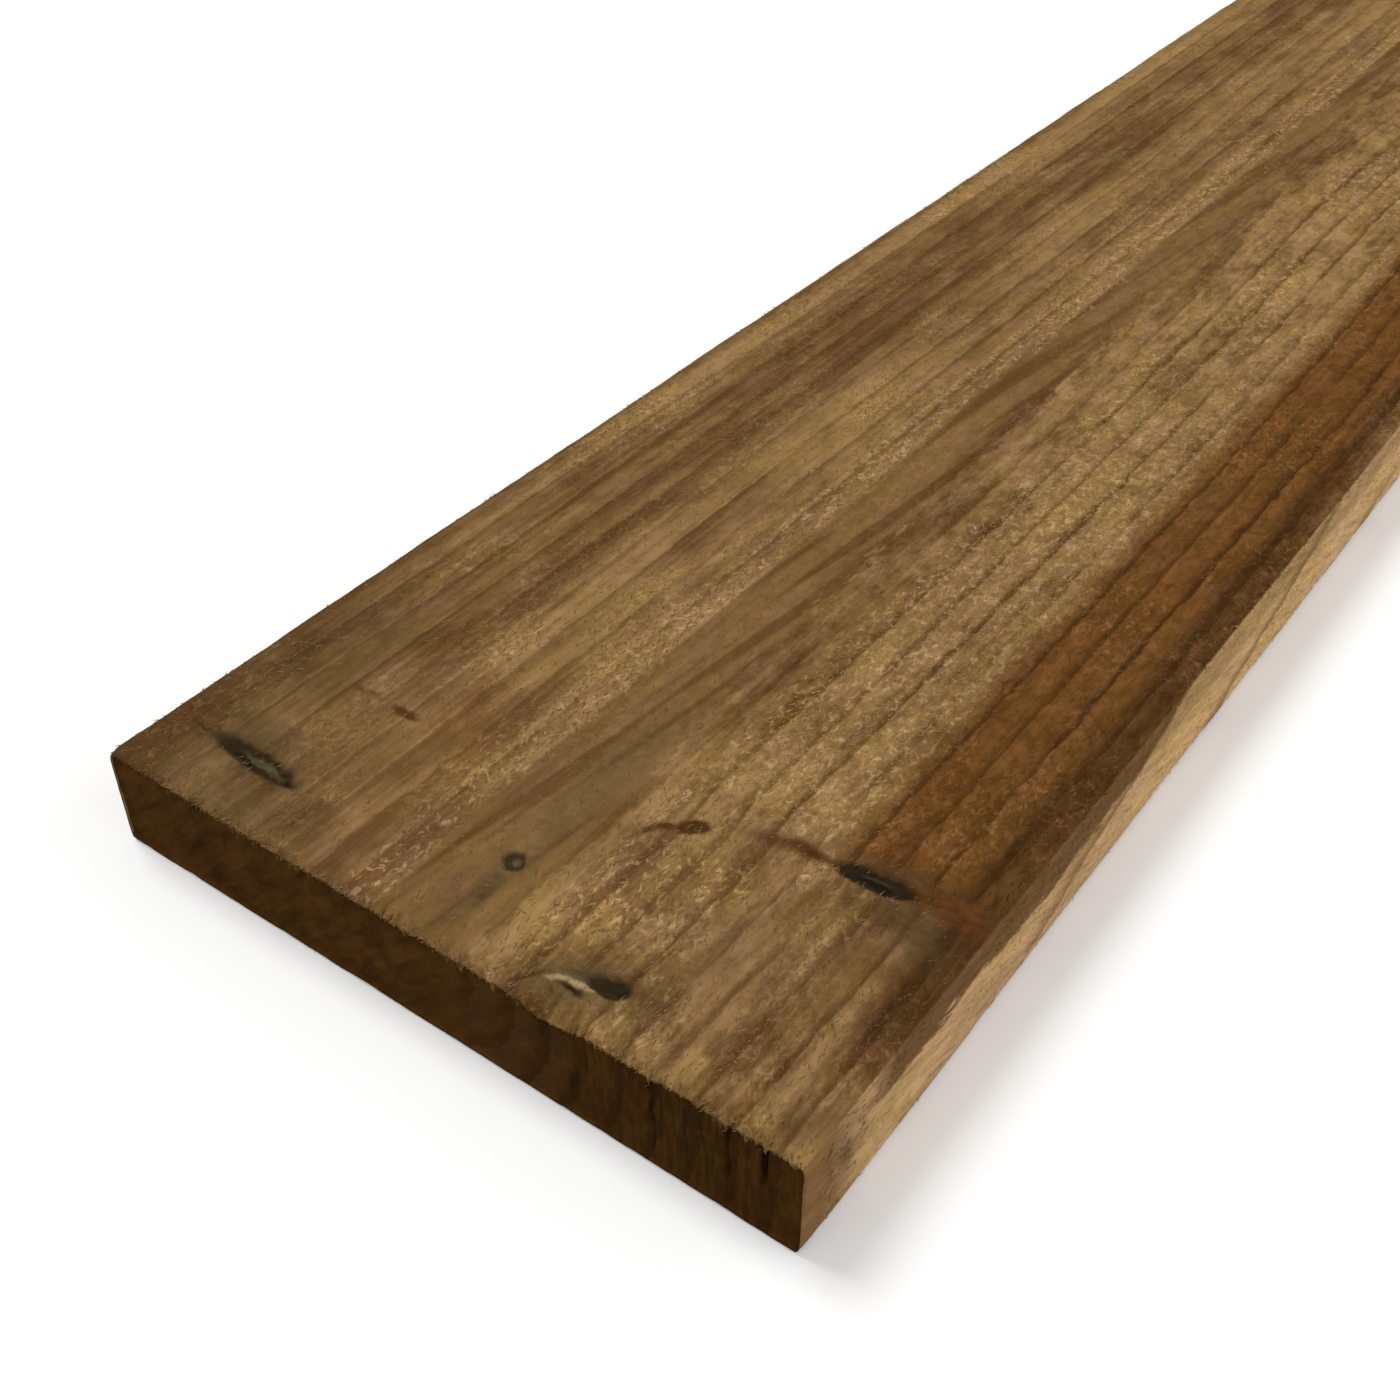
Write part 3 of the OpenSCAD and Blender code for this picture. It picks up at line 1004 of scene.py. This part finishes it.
class BoardMesh:
    """The board as rings of vertices along its length, closed by a grid at each end."""

    def __init__(self):
        self.points = []
        self.faces = []
        self.count = 0

    def add_points(self, points):
        points = np.asarray(points, float)
        self.points.append(points)
        self.count += len(points)
        return np.arange(self.count - len(points), self.count)

    def add_rings(self, loop, stations, last):
        """Rings at the stations, joined to the ring before them."""
        for station in stations:
            ring = self.add_points(np.column_stack([np.full(len(loop), station), loop]))
            if last is not None:
                self.faces.append(bridge_rings(last, ring))
            last = ring
        return last

    def add_cap(self, ring, loop, station, stride, outward):
        """A grid of rows from the face to the back that closes an end. Lower rows have fewer points."""
        face, edge, arris = (steps // stride for steps in (FACE_STEPS, EDGE_STEPS, ARRIS_STEPS))
        total = len(loop)
        upper = np.concatenate([np.arange(total - arris, total), np.arange(face + arris + 1)])
        right, left = face + arris, total - arris
        rows = [(ring[upper], loop[upper, 0])]
        for row in range(1, edge):
            ends = ring[left - row], ring[right + row]
            keep = 1 if row < edge // 2 else 2
            spots = loop[upper, 0][::keep][1:-1]
            height = loop[right + row, 1]
            inner = np.column_stack([np.full(len(spots), station), spots, np.full(len(spots), height)])
            inner = self.add_points(inner)
            widths = np.concatenate([[WIDTH / 2], spots, [-WIDTH / 2]])
            rows.append((np.concatenate([ends[:1], inner, ends[1:]]), widths))
        lower = np.arange(left - edge, right + edge - 1, -1)
        rows.append((ring[lower], loop[lower, 0]))
        for (above, above_spots), (below, below_spots) in zip(rows, rows[1:]):
            strip = np.array(zip_rows(above, below, -above_spots, -below_spots))
            self.faces.append(strip if outward > 0 else strip[:, ::-1])

    def build(self, name):
        points = np.concatenate(self.points) / MM
        faces = np.concatenate(self.faces)
        mesh = bpy.data.meshes.new(name)
        mesh.from_pydata(points.tolist(), [], faces.tolist())
        mesh.shade_smooth()
        mesh.update()
        piece = bpy.data.objects.new(name, mesh)
        bpy.context.scene.collection.objects.link(piece)
        return piece


# Rings of vertices by the two ends, in millimetres from them
SAWN_END_ROWS = (0.0, 0.3, 0.7, 1.2, 1.8)
FAR_END_ROWS = (1.3, 0.7, 0.3, 0.0)
# Further rings from the sawn end, in millimetres: the first, the last and the step
FINE_RUN = (2.5, 24.0, 0.75)
MIDDLE_RUNS = ((25.5, 48.0, 1.5), (48.75, 62.0, 0.75), (64.0, 500.0, 2.0))
COARSE_START = 510.0
COARSE_STEP = 12.0
# Rings by the far end: the first and last before it, and the step
FAR_RUN = (22.0, 2.0, 2.0)


def plain_board(name):
    """The board before its surface is torn: fine near the sawn end, coarser further back."""
    board = BoardMesh()
    fine = section_loop()
    middle, coarse = fine[::2], fine[::4]
    start, end = -LENGTH / 2, LENGTH / 2
    ring = board.add_rings(fine, start + np.array(SAWN_END_ROWS), None)
    front = np.arange(len(fine))
    first, last, step = FINE_RUN
    ring = board.add_rings(fine, even_steps(start + first, start + last, step), ring)
    for first, last, step in MIDDLE_RUNS:
        ring = board.add_rings(middle, even_steps(start + first, start + last, step), ring)
    first, last, step = FAR_RUN
    coarse_end = end - (first + step)
    ring = board.add_rings(coarse, even_steps(start + COARSE_START, coarse_end, COARSE_STEP), ring)
    ring = board.add_rings(middle, even_steps(end - first, end - last, step), ring)
    ring = board.add_rings(middle, end - np.array(FAR_END_ROWS), ring)
    board.add_cap(front, fine, start, 1, -1)
    board.add_cap(ring, middle, end, 2, 1)
    return board.build(name)


def new_geometry_tree(name, inputs):
    """An empty Geometry Nodes tree with named inputs: the means to add nodes, and the inputs by name."""
    tree = bpy.data.node_groups.new(name, "GeometryNodeTree")
    tree.is_modifier = True
    tree.interface.new_socket("Geometry", in_out="INPUT", socket_type="NodeSocketGeometry")
    tree.interface.new_socket("Geometry", in_out="OUTPUT", socket_type="NodeSocketGeometry")
    for label, kind in inputs.items():
        tree.interface.new_socket(label, in_out="INPUT", socket_type=kind)
    nodes = Nodes(tree)
    group = tree.nodes.new("NodeGroupInput")
    sockets = {output.name: Value(nodes, output) for output in group.outputs if output.name}
    return nodes, sockets


def apply_tree(piece, tree, values):
    """Runs a tree on a piece with the given input values, and keeps the result as a plain mesh."""
    modifier = piece.modifiers.new(tree.name, "NODES")
    modifier.node_group = tree
    for item in tree.interface.items_tree:
        if item.in_out == "INPUT" and item.name in values:
            modifier[item.identifier] = values[item.name]
    bpy.context.view_layer.update()
    graph = bpy.context.evaluated_depsgraph_get()
    mesh = bpy.data.meshes.new_from_object(piece.evaluated_get(graph))
    piece.modifiers.remove(modifier)
    plain = piece.data
    piece.data = mesh
    bpy.data.meshes.remove(plain)
    mesh.name = piece.name
    return piece


# Shares of the timber's depth of relief
RELIEF_BASE = -0.15
SWELL_SHARE = 1.1
TORN_SHARE = 0.7
LINE_SHARE = 0.5
# Depths in millimetres
ARRIS_WEAR = 0.15
KNOT_SINK = 0.8
STAIN_SINK = 0.25
CHECK_SINK = 2.2
CHECK_FLOOR = 3.0
# Share of the chip's depth that is its own. The fray of the end arris deepens it further
CHIP_SHARE = 0.7
# Ramps of the distance from an end and from an arris, in millimetres
END_PLANE = (0.4, 0.0)
END_ARRIS = (2.6, 0.0)
LONG_ARRIS = (2.5, 0.3)
CHIP_HOLLOW = (3.6, 0.0)
# Depths below the face over which the arrises get less worn, and how much less
LOWER_HALF = (10.0, 12.0)
LOWER_WEAR = 0.8
# Ramps of the noise that tears the arrises
TEETH = (0.30, 0.75)
ARRIS_TEARS = (0.25, 0.7)
WORN_PARTS = (0.35, 0.8)
# Shares of the timber's fray: everywhere along the end arrises, and in their teeth
FRAY_BASE = 0.25
FRAY_TEETH = 1.1


def relief_tree(timber):
    """Geometry Nodes that tear the faces, hollow the knots, open the checks and fray the end arrises."""
    kinds = {"Relief": "NodeSocketFloat", "Fray": "NodeSocketFloat", "Material": "NodeSocketMaterial"}
    nodes, sockets = new_geometry_tree("Sawn relief", kinds)
    relief, fray = sockets["Relief"] * MM, sockets["Fray"] * MM
    figure = Figure(nodes, nodes.add("GeometryNodeInputPosition"), timber)
    along, across, depth = figure.along, figure.across, figure.depth
    to_end = along.least(LENGTH - along)
    to_edge = across.least(WIDTH - across)
    to_face = depth.least(THICKNESS - depth)
    torn = TORN_SHARE * torn_patches(figure) * (1 - figure.grain("tuft"))
    texture = RELIEF_BASE + SWELL_SHARE * figure.grain("swell") + torn + LINE_SHARE * figure.late_line()
    sink = relief * texture + END_SINK * to_end.rise(*END_PLANE)
    # Torn fibres along the arrises of the ends, and handling wear along the four long ones, most on the face
    worn = 1 - LOWER_WEAR * depth.rise(*LOWER_HALF)
    end_arris = (to_end * to_end + to_face * to_face).root().rise(*END_ARRIS)
    tooth = figure.grain("tooth").rise(*TEETH)
    tear = figure.grain("arris tear").rise(*ARRIS_TEARS)
    sink = sink + worn * fray * (FRAY_BASE + FRAY_TEETH * tooth * tear) * end_arris
    long_arris = (to_edge * to_edge + to_face * to_face).root().rise(*LONG_ARRIS)
    sink = sink + worn * ARRIS_WEAR * figure.grain("arris wear").rise(*WORN_PARTS) * long_arris
    # A chip out of the end arris beside the end knot, twice as long as it is deep
    chip_side = abs(across - CHIP_ACROSS).rise(CHIP_WIDTH / 2 + 1.0, 1.0)
    chip_depth = (along * along * 0.25 + depth * depth).root().rise(*CHIP_HOLLOW)
    sink = sink + CHIP_DEPTH * CHIP_SHARE * chip_side * chip_depth
    sink = sink + KNOT_SINK * figure.face_marks("dark") + STAIN_SINK * figure.face_marks("stain")
    # The drying checks open in the end and reach a little way along the face
    for check in CHECKS:
        crack = abs(across - check.across).rise(CHECK_GAPE / 2, 0.0)
        crack = crack * depth.rise(check.depth, check.depth - CHECK_FLOOR) * along.rise(CHECK_REACH, 0.0)
        sink = sink + CHECK_SINK * crack
    normal = nodes.add("GeometryNodeInputNormal")
    offset = nodes.add("ShaderNodeVectorMath", {0: normal, "Scale": sink / -MM}, operation="SCALE")
    moved = nodes.add("GeometryNodeSetPosition", {"Geometry": sockets["Geometry"], "Offset": offset})
    plain = nodes.add("GeometryNodeRealizeInstances", {0: moved})
    finished = nodes.add("GeometryNodeSetMaterial", {"Geometry": plain, "Material": sockets["Material"]})
    nodes.end("NodeGroupOutput", finished)
    return nodes.tree


# Brightness of fibres beside the wood they stand on, how pale some are, and what golden wood adds to that
FIBRE_SHADE = 0.85
FIBRE_PALENESS = 0.10
GOLDEN_PALENESS = 0.30


def face_fibre_colour(nodes, figure, colours):
    """Usual colour of the fibres on the face, and how pale some of them are."""
    golden = figure.zone(GOLDEN_WOOD, (BEHIND_WHORL,))
    stripe = figure.zone((HEART_STRIPE,), (HEART_START,))
    colour = nodes.mix(shade("face fibre", golden), colours.brown_wood, colours.pale_wood)
    colour = nodes.mix(stripe, colour, tinted(nodes, colours.heart, FIBRE_SHADE))
    colour = nodes.mix(figure.zone(PITH_BAND), colour, colours.core)
    dark_side = figure.zone((RIGHT_ARRIS,), (RIGHT_ARRIS_START,))
    left_corner = figure.zone((LEFT_CORNER,), ((30.0, 18.0),))
    colour = tinted(nodes, colour, shade("face fibre side", dark_side.most(left_corner)))
    return colour, FIBRE_PALENESS + GOLDEN_PALENESS * golden * (1 - stripe)


def edge_fibre_colour(nodes, figure, colours):
    """Usual colour of the fibres on the long edges, and how pale some of them are."""
    upper = figure.depth.rise(9.0, 6.0) * figure.zone((), (EDGE_WEATHER_START, (140.0, 110.0)))
    upper = upper.most(figure.along.rise(26.0, 12.0) * COVER["edge fibre front"])
    colour = nodes.mix(upper, tinted(nodes, colours.edge, FIBRE_SHADE), colours.weathered)
    return colour, FIBRE_PALENESS


def fibre_material(name, colours, timber, usual_colour):
    """Material of the raised fibres: the usual colour of the wood they stand on, some of them paler."""
    material, nodes = empty_material(name)
    figure = Figure(nodes, nodes.add("ShaderNodeTexCoord", output="Object"), timber)
    colour, paleness = usual_colour(nodes, figure, colours)
    speckle = figure.grain("speckle")
    colour = tinted(nodes, colour, shade("fibre", speckle))
    colour = nodes.mix(speckle.rise(*PALE_FIBRES) * paleness, colour, colours.fuzz)
    nodes.end("ShaderNodeOutputMaterial", matt(nodes, colour))
    return material


# A fibre is a cone with this many sides
FIBRE_SIDES = 3
# Room between the fibres' tips and the board's box, in metres
FIBRE_MARGIN = 0.00002
# Least and most of a fibre's size and rise, as shares of the usual ones
FIBRE_LIFTS = (0.02, 1.0)
FIBRE_THICKNESSES = (0.6, 1.3)
FIBRE_LENGTHS = (0.4, 1.3)
# Slopes of a fibre off the grain, across the board and up
FIBRE_SIDEWAYS = (-0.8, 0.8)
FIBRE_UPWARDS = (-0.05, 0.05)
# Where the fibres begin to thin out and where they are thinnest, in millimetres from the sawn end, and the
# share that is missing there
FIBRE_THINNING = (150.0, 450.0)
FIBRE_LOSS = 0.55
# Share of the fibres that are missing on stains
STAIN_LOSS = 0.8
# Shares of the density: everywhere, and on the torn patches
SMOOTH_DENSITY = 0.25
TORN_DENSITY = 0.75
# Ramps of the distance from the end arris and of the depth in millimetres, and of how squarely a face lies
FIBRE_ARRIS = (2.6, 0.6)
FIBRE_DEPTHS = (3.0, 2.0)
FIBRE_FACING = (0.6, 0.8)


def fibre_density(nodes, figure, sockets):
    """How many fibres stand on a square metre: most on the torn patches and along the end arris."""
    along = figure.along
    facing = {0: nodes.add("GeometryNodeInputNormal"), 1: sockets["Facing"]}
    facing = nodes.add("ShaderNodeVectorMath", facing, "Value", operation="DOT_PRODUCT")
    stretch = along.rise(sockets["Start"] * MM - 1.0, sockets["Start"] * MM)
    stretch = stretch * along.rise(sockets["End"] * MM, sockets["End"] * MM - 1.0)
    arris = (along * along + figure.depth * figure.depth).root().rise(*FIBRE_ARRIS)
    bare = (1 - figure.face_marks("dark")) * (1 - STAIN_LOSS * figure.face_marks("stain"))
    thinning = 1 - FIBRE_LOSS * along.rise(*FIBRE_THINNING)
    # None stand on the walls of the checks, which face the same way deeper down
    side = nodes.split(sockets["Facing"])
    below = side[2] * figure.depth + abs(side[1]) * figure.across.least(WIDTH - figure.across)
    density = sockets["Density"] * stretch * thinning * facing.rise(*FIBRE_FACING) * bare
    density = density * below.rise(*FIBRE_DEPTHS)
    return density * (SMOOTH_DENSITY + TORN_DENSITY * torn_patches(figure) + arris * sockets["Overhang"])


def fibre_tree(timber):
    """Geometry Nodes that raise short tapering fibres from a board, mostly along its grain."""
    kinds = dict.fromkeys(("Density", "Length", "Thickness", "Lift", "Overhang"), "NodeSocketFloat")
    kinds |= {"Facing": "NodeSocketVector", "Start": "NodeSocketFloat", "End": "NodeSocketFloat"}
    kinds |= {"Seed": "NodeSocketInt", "Material": "NodeSocketMaterial"}
    nodes, sockets = new_geometry_tree("Raised fibres", kinds)
    figure = Figure(nodes, nodes.add("GeometryNodeInputPosition"), timber)
    inputs = {"Mesh": sockets["Geometry"], "Seed": sockets["Seed"]}
    inputs |= {"Density": fibre_density(nodes, figure, sockets)}
    spread = nodes.add("GeometryNodeDistributePointsOnFaces", inputs, "Points")
    standing = Value(nodes, spread.socket.node.outputs["Normal"])

    def random_value(limits, salt):
        inputs = {2: limits[0], 3: limits[1], "Seed": sockets["Seed"] + salt}
        return nodes.add("FunctionNodeRandomValue", inputs, 1, data_type="FLOAT")

    # A fibre points either way along the grain, and always outwards by the sawn end
    place = nodes.split(nodes.add("GeometryNodeInputPosition"))[0] * MM + LENGTH / 2
    way = random_value((-1.0, 1.0), 1) - 2.0 * place.rise(4.0, 2.0)
    way = way.rise(-0.01, 0.01) * 2 - 1
    grain = nodes.vector(way, random_value(FIBRE_SIDEWAYS, 2), random_value(FIBRE_UPWARDS, 3))
    lift = {0: standing, "Scale": random_value(FIBRE_LIFTS, 4) * sockets["Lift"]}
    lift = nodes.add("ShaderNodeVectorMath", lift, operation="SCALE")
    aim = nodes.add("ShaderNodeVectorMath", {0: grain, 1: lift}, operation="ADD")
    turn = nodes.add("FunctionNodeAlignRotationToVector", {"Vector": aim}, axis="Z")
    thick = sockets["Thickness"] * random_value(FIBRE_THICKNESSES, 5)
    size = nodes.vector(thick, thick, sockets["Length"] * random_value(FIBRE_LENGTHS, 6))
    cone = {"Vertices": FIBRE_SIDES, "Radius Top": 0.0, "Radius Bottom": 1.0, "Depth": 1.0}
    fibre = nodes.add("GeometryNodeMeshCone", cone, "Mesh", fill_type="NGON")
    inputs = {"Points": spread, "Instance": fibre, "Rotation": turn, "Scale": size}
    placed = nodes.add("GeometryNodeInstanceOnPoints", inputs)
    placed = nodes.add("GeometryNodeRealizeInstances", {0: placed})
    # No tip leaves the box of the sawn board
    spot = nodes.add("GeometryNodeInputPosition")
    low = [value + FIBRE_MARGIN for value in LOW]
    high = [value - FIBRE_MARGIN for value in HIGH]
    spot = nodes.add("ShaderNodeVectorMath", {0: spot, 1: low}, operation="MAXIMUM")
    spot = nodes.add("ShaderNodeVectorMath", {0: spot, 1: high}, operation="MINIMUM")
    kept = nodes.add("GeometryNodeSetPosition", {"Geometry": placed, "Position": spot})
    finished = nodes.add("GeometryNodeSetMaterial", {"Geometry": kept, "Material": sockets["Material"]})
    nodes.end("NodeGroupOutput", finished)
    return nodes.tree


class PLANK_OT_board(bpy.types.Operator):
    """Builds the plank with its sawn surface, knots and drying checks"""

    bl_idname = "plank.board"
    bl_label = "Build board"

    def execute(self, context):
        scene = context.scene
        piece = plain_board("sawn_board")
        timber = scene.plank_timber
        material = timber_material("Sawn timber", scene.plank_colours, timber)
        values = {"Relief": timber.relief, "Fray": timber.fray, "Material": material}
        apply_tree(piece, relief_tree(timber), values)
        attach(piece, "root")
        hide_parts("plank")
        return {"FINISHED"}


# Fibre groups: name, way they face, whether they stand on a long edge, start and end along the board in
# millimetres, most fibres to a square millimetre, and how much denser they are along the end arris
FibreGroup = namedtuple("FibreGroup", "name facing along_edge start end density overhang")
FIBRE_GROUPS = (
    FibreGroup("face_fibres", (0.0, 0.0, 1.0), False, 0.0, 520.0, 0.9, 4.0),
    FibreGroup("far_face_fibres", (0.0, 0.0, 1.0), False, 520.0, LENGTH, 0.5, 1.0),
    FibreGroup("right_edge_fibres", (0.0, -1.0, 0.0), True, 5.0, LENGTH - 5.0, 0.6, 0.0),
    FibreGroup("left_edge_fibres", (0.0, 1.0, 0.0), True, 5.0, LENGTH - 5.0, 0.6, 0.0),
)
# Seed of the first group, and the step to the next
FIBRE_SEED = 7
FIBRE_SEED_STEP = 10


class PLANK_OT_fibres(bpy.types.Operator):
    """Raises the torn fibres of the face and the edges"""

    bl_idname = "plank.fibres"
    bl_label = "Raise fibres"

    def execute(self, context):
        scene = context.scene
        timber = scene.plank_timber
        tree = fibre_tree(timber)
        face_material = fibre_material("Face fibres", scene.plank_colours, timber, face_fibre_colour)
        edge_material = fibre_material("Edge fibres", scene.plank_colours, timber, edge_fibre_colour)
        usual = {"Length": timber.fibre_length, "Lift": timber.fibre_lift}
        usual |= {"Thickness": timber.fibre_thickness}
        for number, group in enumerate(FIBRE_GROUPS):
            piece = bpy.data.objects.new(group.name, bpy.data.objects["sawn_board"].data.copy())
            scene.collection.objects.link(piece)
            piece.data.materials.clear()
            values = {"Density": group.density * MM * MM, "Overhang": group.overhang, "Facing": group.facing}
            values |= {"Start": group.start / MM, "End": group.end / MM}
            values |= {"Seed": FIBRE_SEED + FIBRE_SEED_STEP * number}
            values |= {"Material": edge_material if group.along_edge else face_material}
            apply_tree(piece, tree, usual | values)
            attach(piece, "root")
        return {"FINISHED"}


# The camera, in metres from the middle of the plank's underside, and its lens in millimetres
CAMERA_PLACE = (-1.02332, -0.14687, 0.22588)
CAMERA_AIM = (0.62041, 0.45265, -0.64045)
CAMERA_LENS = 44.17
CAMERA_SENSOR = 36.0
CAMERA_NEAR = 0.01
FLOOR_SIZE = 40.0

# Broad lamps: heading from the plank, elevation and spread in degrees, and whether they cast shadows.
# A heading of 0 is the far end's, and 90 the left edge's. Shadows fall to the right, so the key light
# casts none
Lamp = namedtuple("Lamp", "name heading elevation spread shadow")
LAMPS = (
    Lamp("key", -72.0, 28.0, 60.0, False),
    Lamp("fill", 85.0, 62.0, 25.0, True),
    Lamp("front", 190.0, 60.0, 60.0, True),
)


def add_sun(lamp, level):
    """A lamp that gives the level amount of light on level ground, where 1 shows a colour as it is."""
    elevation = math.radians(lamp.elevation)
    heading = math.radians(lamp.heading)
    light = bpy.data.lights.new(lamp.name, "SUN")
    light.energy = level * math.pi / math.sin(elevation)
    light.angle = math.radians(lamp.spread)
    light.use_shadow = lamp.shadow
    flat = math.cos(elevation)
    source = Vector((flat * math.cos(heading), flat * math.sin(heading), math.sin(elevation)))
    piece = bpy.data.objects.new(lamp.name, light)
    piece.rotation_mode = "QUATERNION"
    piece.rotation_quaternion = source.to_track_quat("Z", "Y")
    bpy.context.scene.collection.objects.link(piece)


def seeing_ray(nodes):
    """1 on a ray by which the camera sees a surface, straight on, mirrored or through glass."""
    path = nodes.add("ShaderNodeLightPath").socket.node
    rays = [Value(nodes, path.outputs[f"Is {name} Ray"]) for name in ("Camera", "Glossy", "Transmission")]
    return reduce(Value.most, rays)


def floor_material(stage):
    """White to the camera, so that only shadows show, and greyer in the light that it throws back."""
    material, nodes = empty_material("Studio floor")
    seen = nodes.add("ShaderNodeBsdfDiffuse", {"Color": stage.floor})
    thrown = nodes.add("ShaderNodeBsdfDiffuse", {"Color": stage.bounce})
    nodes.end("ShaderNodeOutputMaterial", either(nodes, seeing_ray(nodes), thrown, seen))
    return material


def dome_world(level):
    """An even dome of light, with a white backdrop behind it."""
    world = bpy.data.worlds.new("Studio dome")
    world.use_nodes = True
    world.node_tree.nodes.clear()
    nodes = Nodes(world.node_tree)
    strength = level + seeing_ray(nodes) * (1 - level)
    light = nodes.add("ShaderNodeBackground", {"Color": (1.0, 1.0, 1.0, 1.0), "Strength": strength})
    nodes.end("ShaderNodeOutputWorld", light)
    bpy.context.scene.world = world


class PLANK_OT_stage(bpy.types.Operator):
    """Builds the floor, the lights and the camera"""

    bl_idname = "plank.stage"
    bl_label = "Build stage"

    def execute(self, context):
        scene = context.scene
        stage = scene.plank_stage
        half = FLOOR_SIZE / 2
        mesh = bpy.data.meshes.new("studio_floor")
        corners = [(-half, -half, 0), (half, -half, 0), (half, half, 0), (-half, half, 0)]
        mesh.from_pydata(corners, [], [(0, 1, 2, 3)])
        mesh.materials.append(floor_material(stage))
        floor = bpy.data.objects.new("studio_floor", mesh)
        scene.collection.objects.link(floor)
        for lamp in LAMPS:
            add_sun(lamp, getattr(stage, lamp.name))
        dome_world(stage.dome)
        lens = bpy.data.cameras.new("camera")
        lens.sensor_width = CAMERA_SENSOR
        lens.lens = CAMERA_LENS
        lens.clip_start = CAMERA_NEAR
        camera = bpy.data.objects.new("camera", lens)
        camera.location = CAMERA_PLACE
        camera.rotation_mode = "QUATERNION"
        camera.rotation_quaternion = Vector(CAMERA_AIM).to_track_quat("-Z", "Y")
        scene.collection.objects.link(camera)
        scene.camera = camera
        scene.view_settings.view_transform = "Standard"
        return {"FINISHED"}


class PLANK_PT_panel(bpy.types.Panel):
    """Lists the plank's pieces and settings"""

    bl_idname = "PLANK_PT_panel"
    bl_label = "Rough-sawn plank"
    bl_space_type = "VIEW_3D"
    bl_region_type = "UI"
    bl_category = "Plank"

    def draw(self, context):
        layout = self.layout
        for operator in OPERATORS:
            layout.operator(operator.bl_idname)
        for group in GROUPS:
            settings = getattr(context.scene, group)
            box = layout.box()
            for name in settings.__annotations__:
                box.prop(settings, name)


GROUPS = {"plank_timber": PlankTimber, "plank_colours": PlankColours, "plank_stage": PlankStage}
OPERATORS = (PLANK_OT_board, PLANK_OT_fibres, PLANK_OT_stage)
CLASSES = (*GROUPS.values(), *OPERATORS, PLANK_PT_panel)


def register():
    for item in CLASSES:
        bpy.utils.register_class(item)
    for name, group in GROUPS.items():
        setattr(bpy.types.Scene, name, bpy.props.PointerProperty(type=group))


def unregister():
    for name in GROUPS:
        delattr(bpy.types.Scene, name)
    for item in reversed(CLASSES):
        bpy.utils.unregister_class(item)


def main():
    register()
    bpy.ops.plank.board()
    bpy.ops.plank.fibres()
    bpy.ops.plank.stage()


if __name__ == "__main__":
    main()
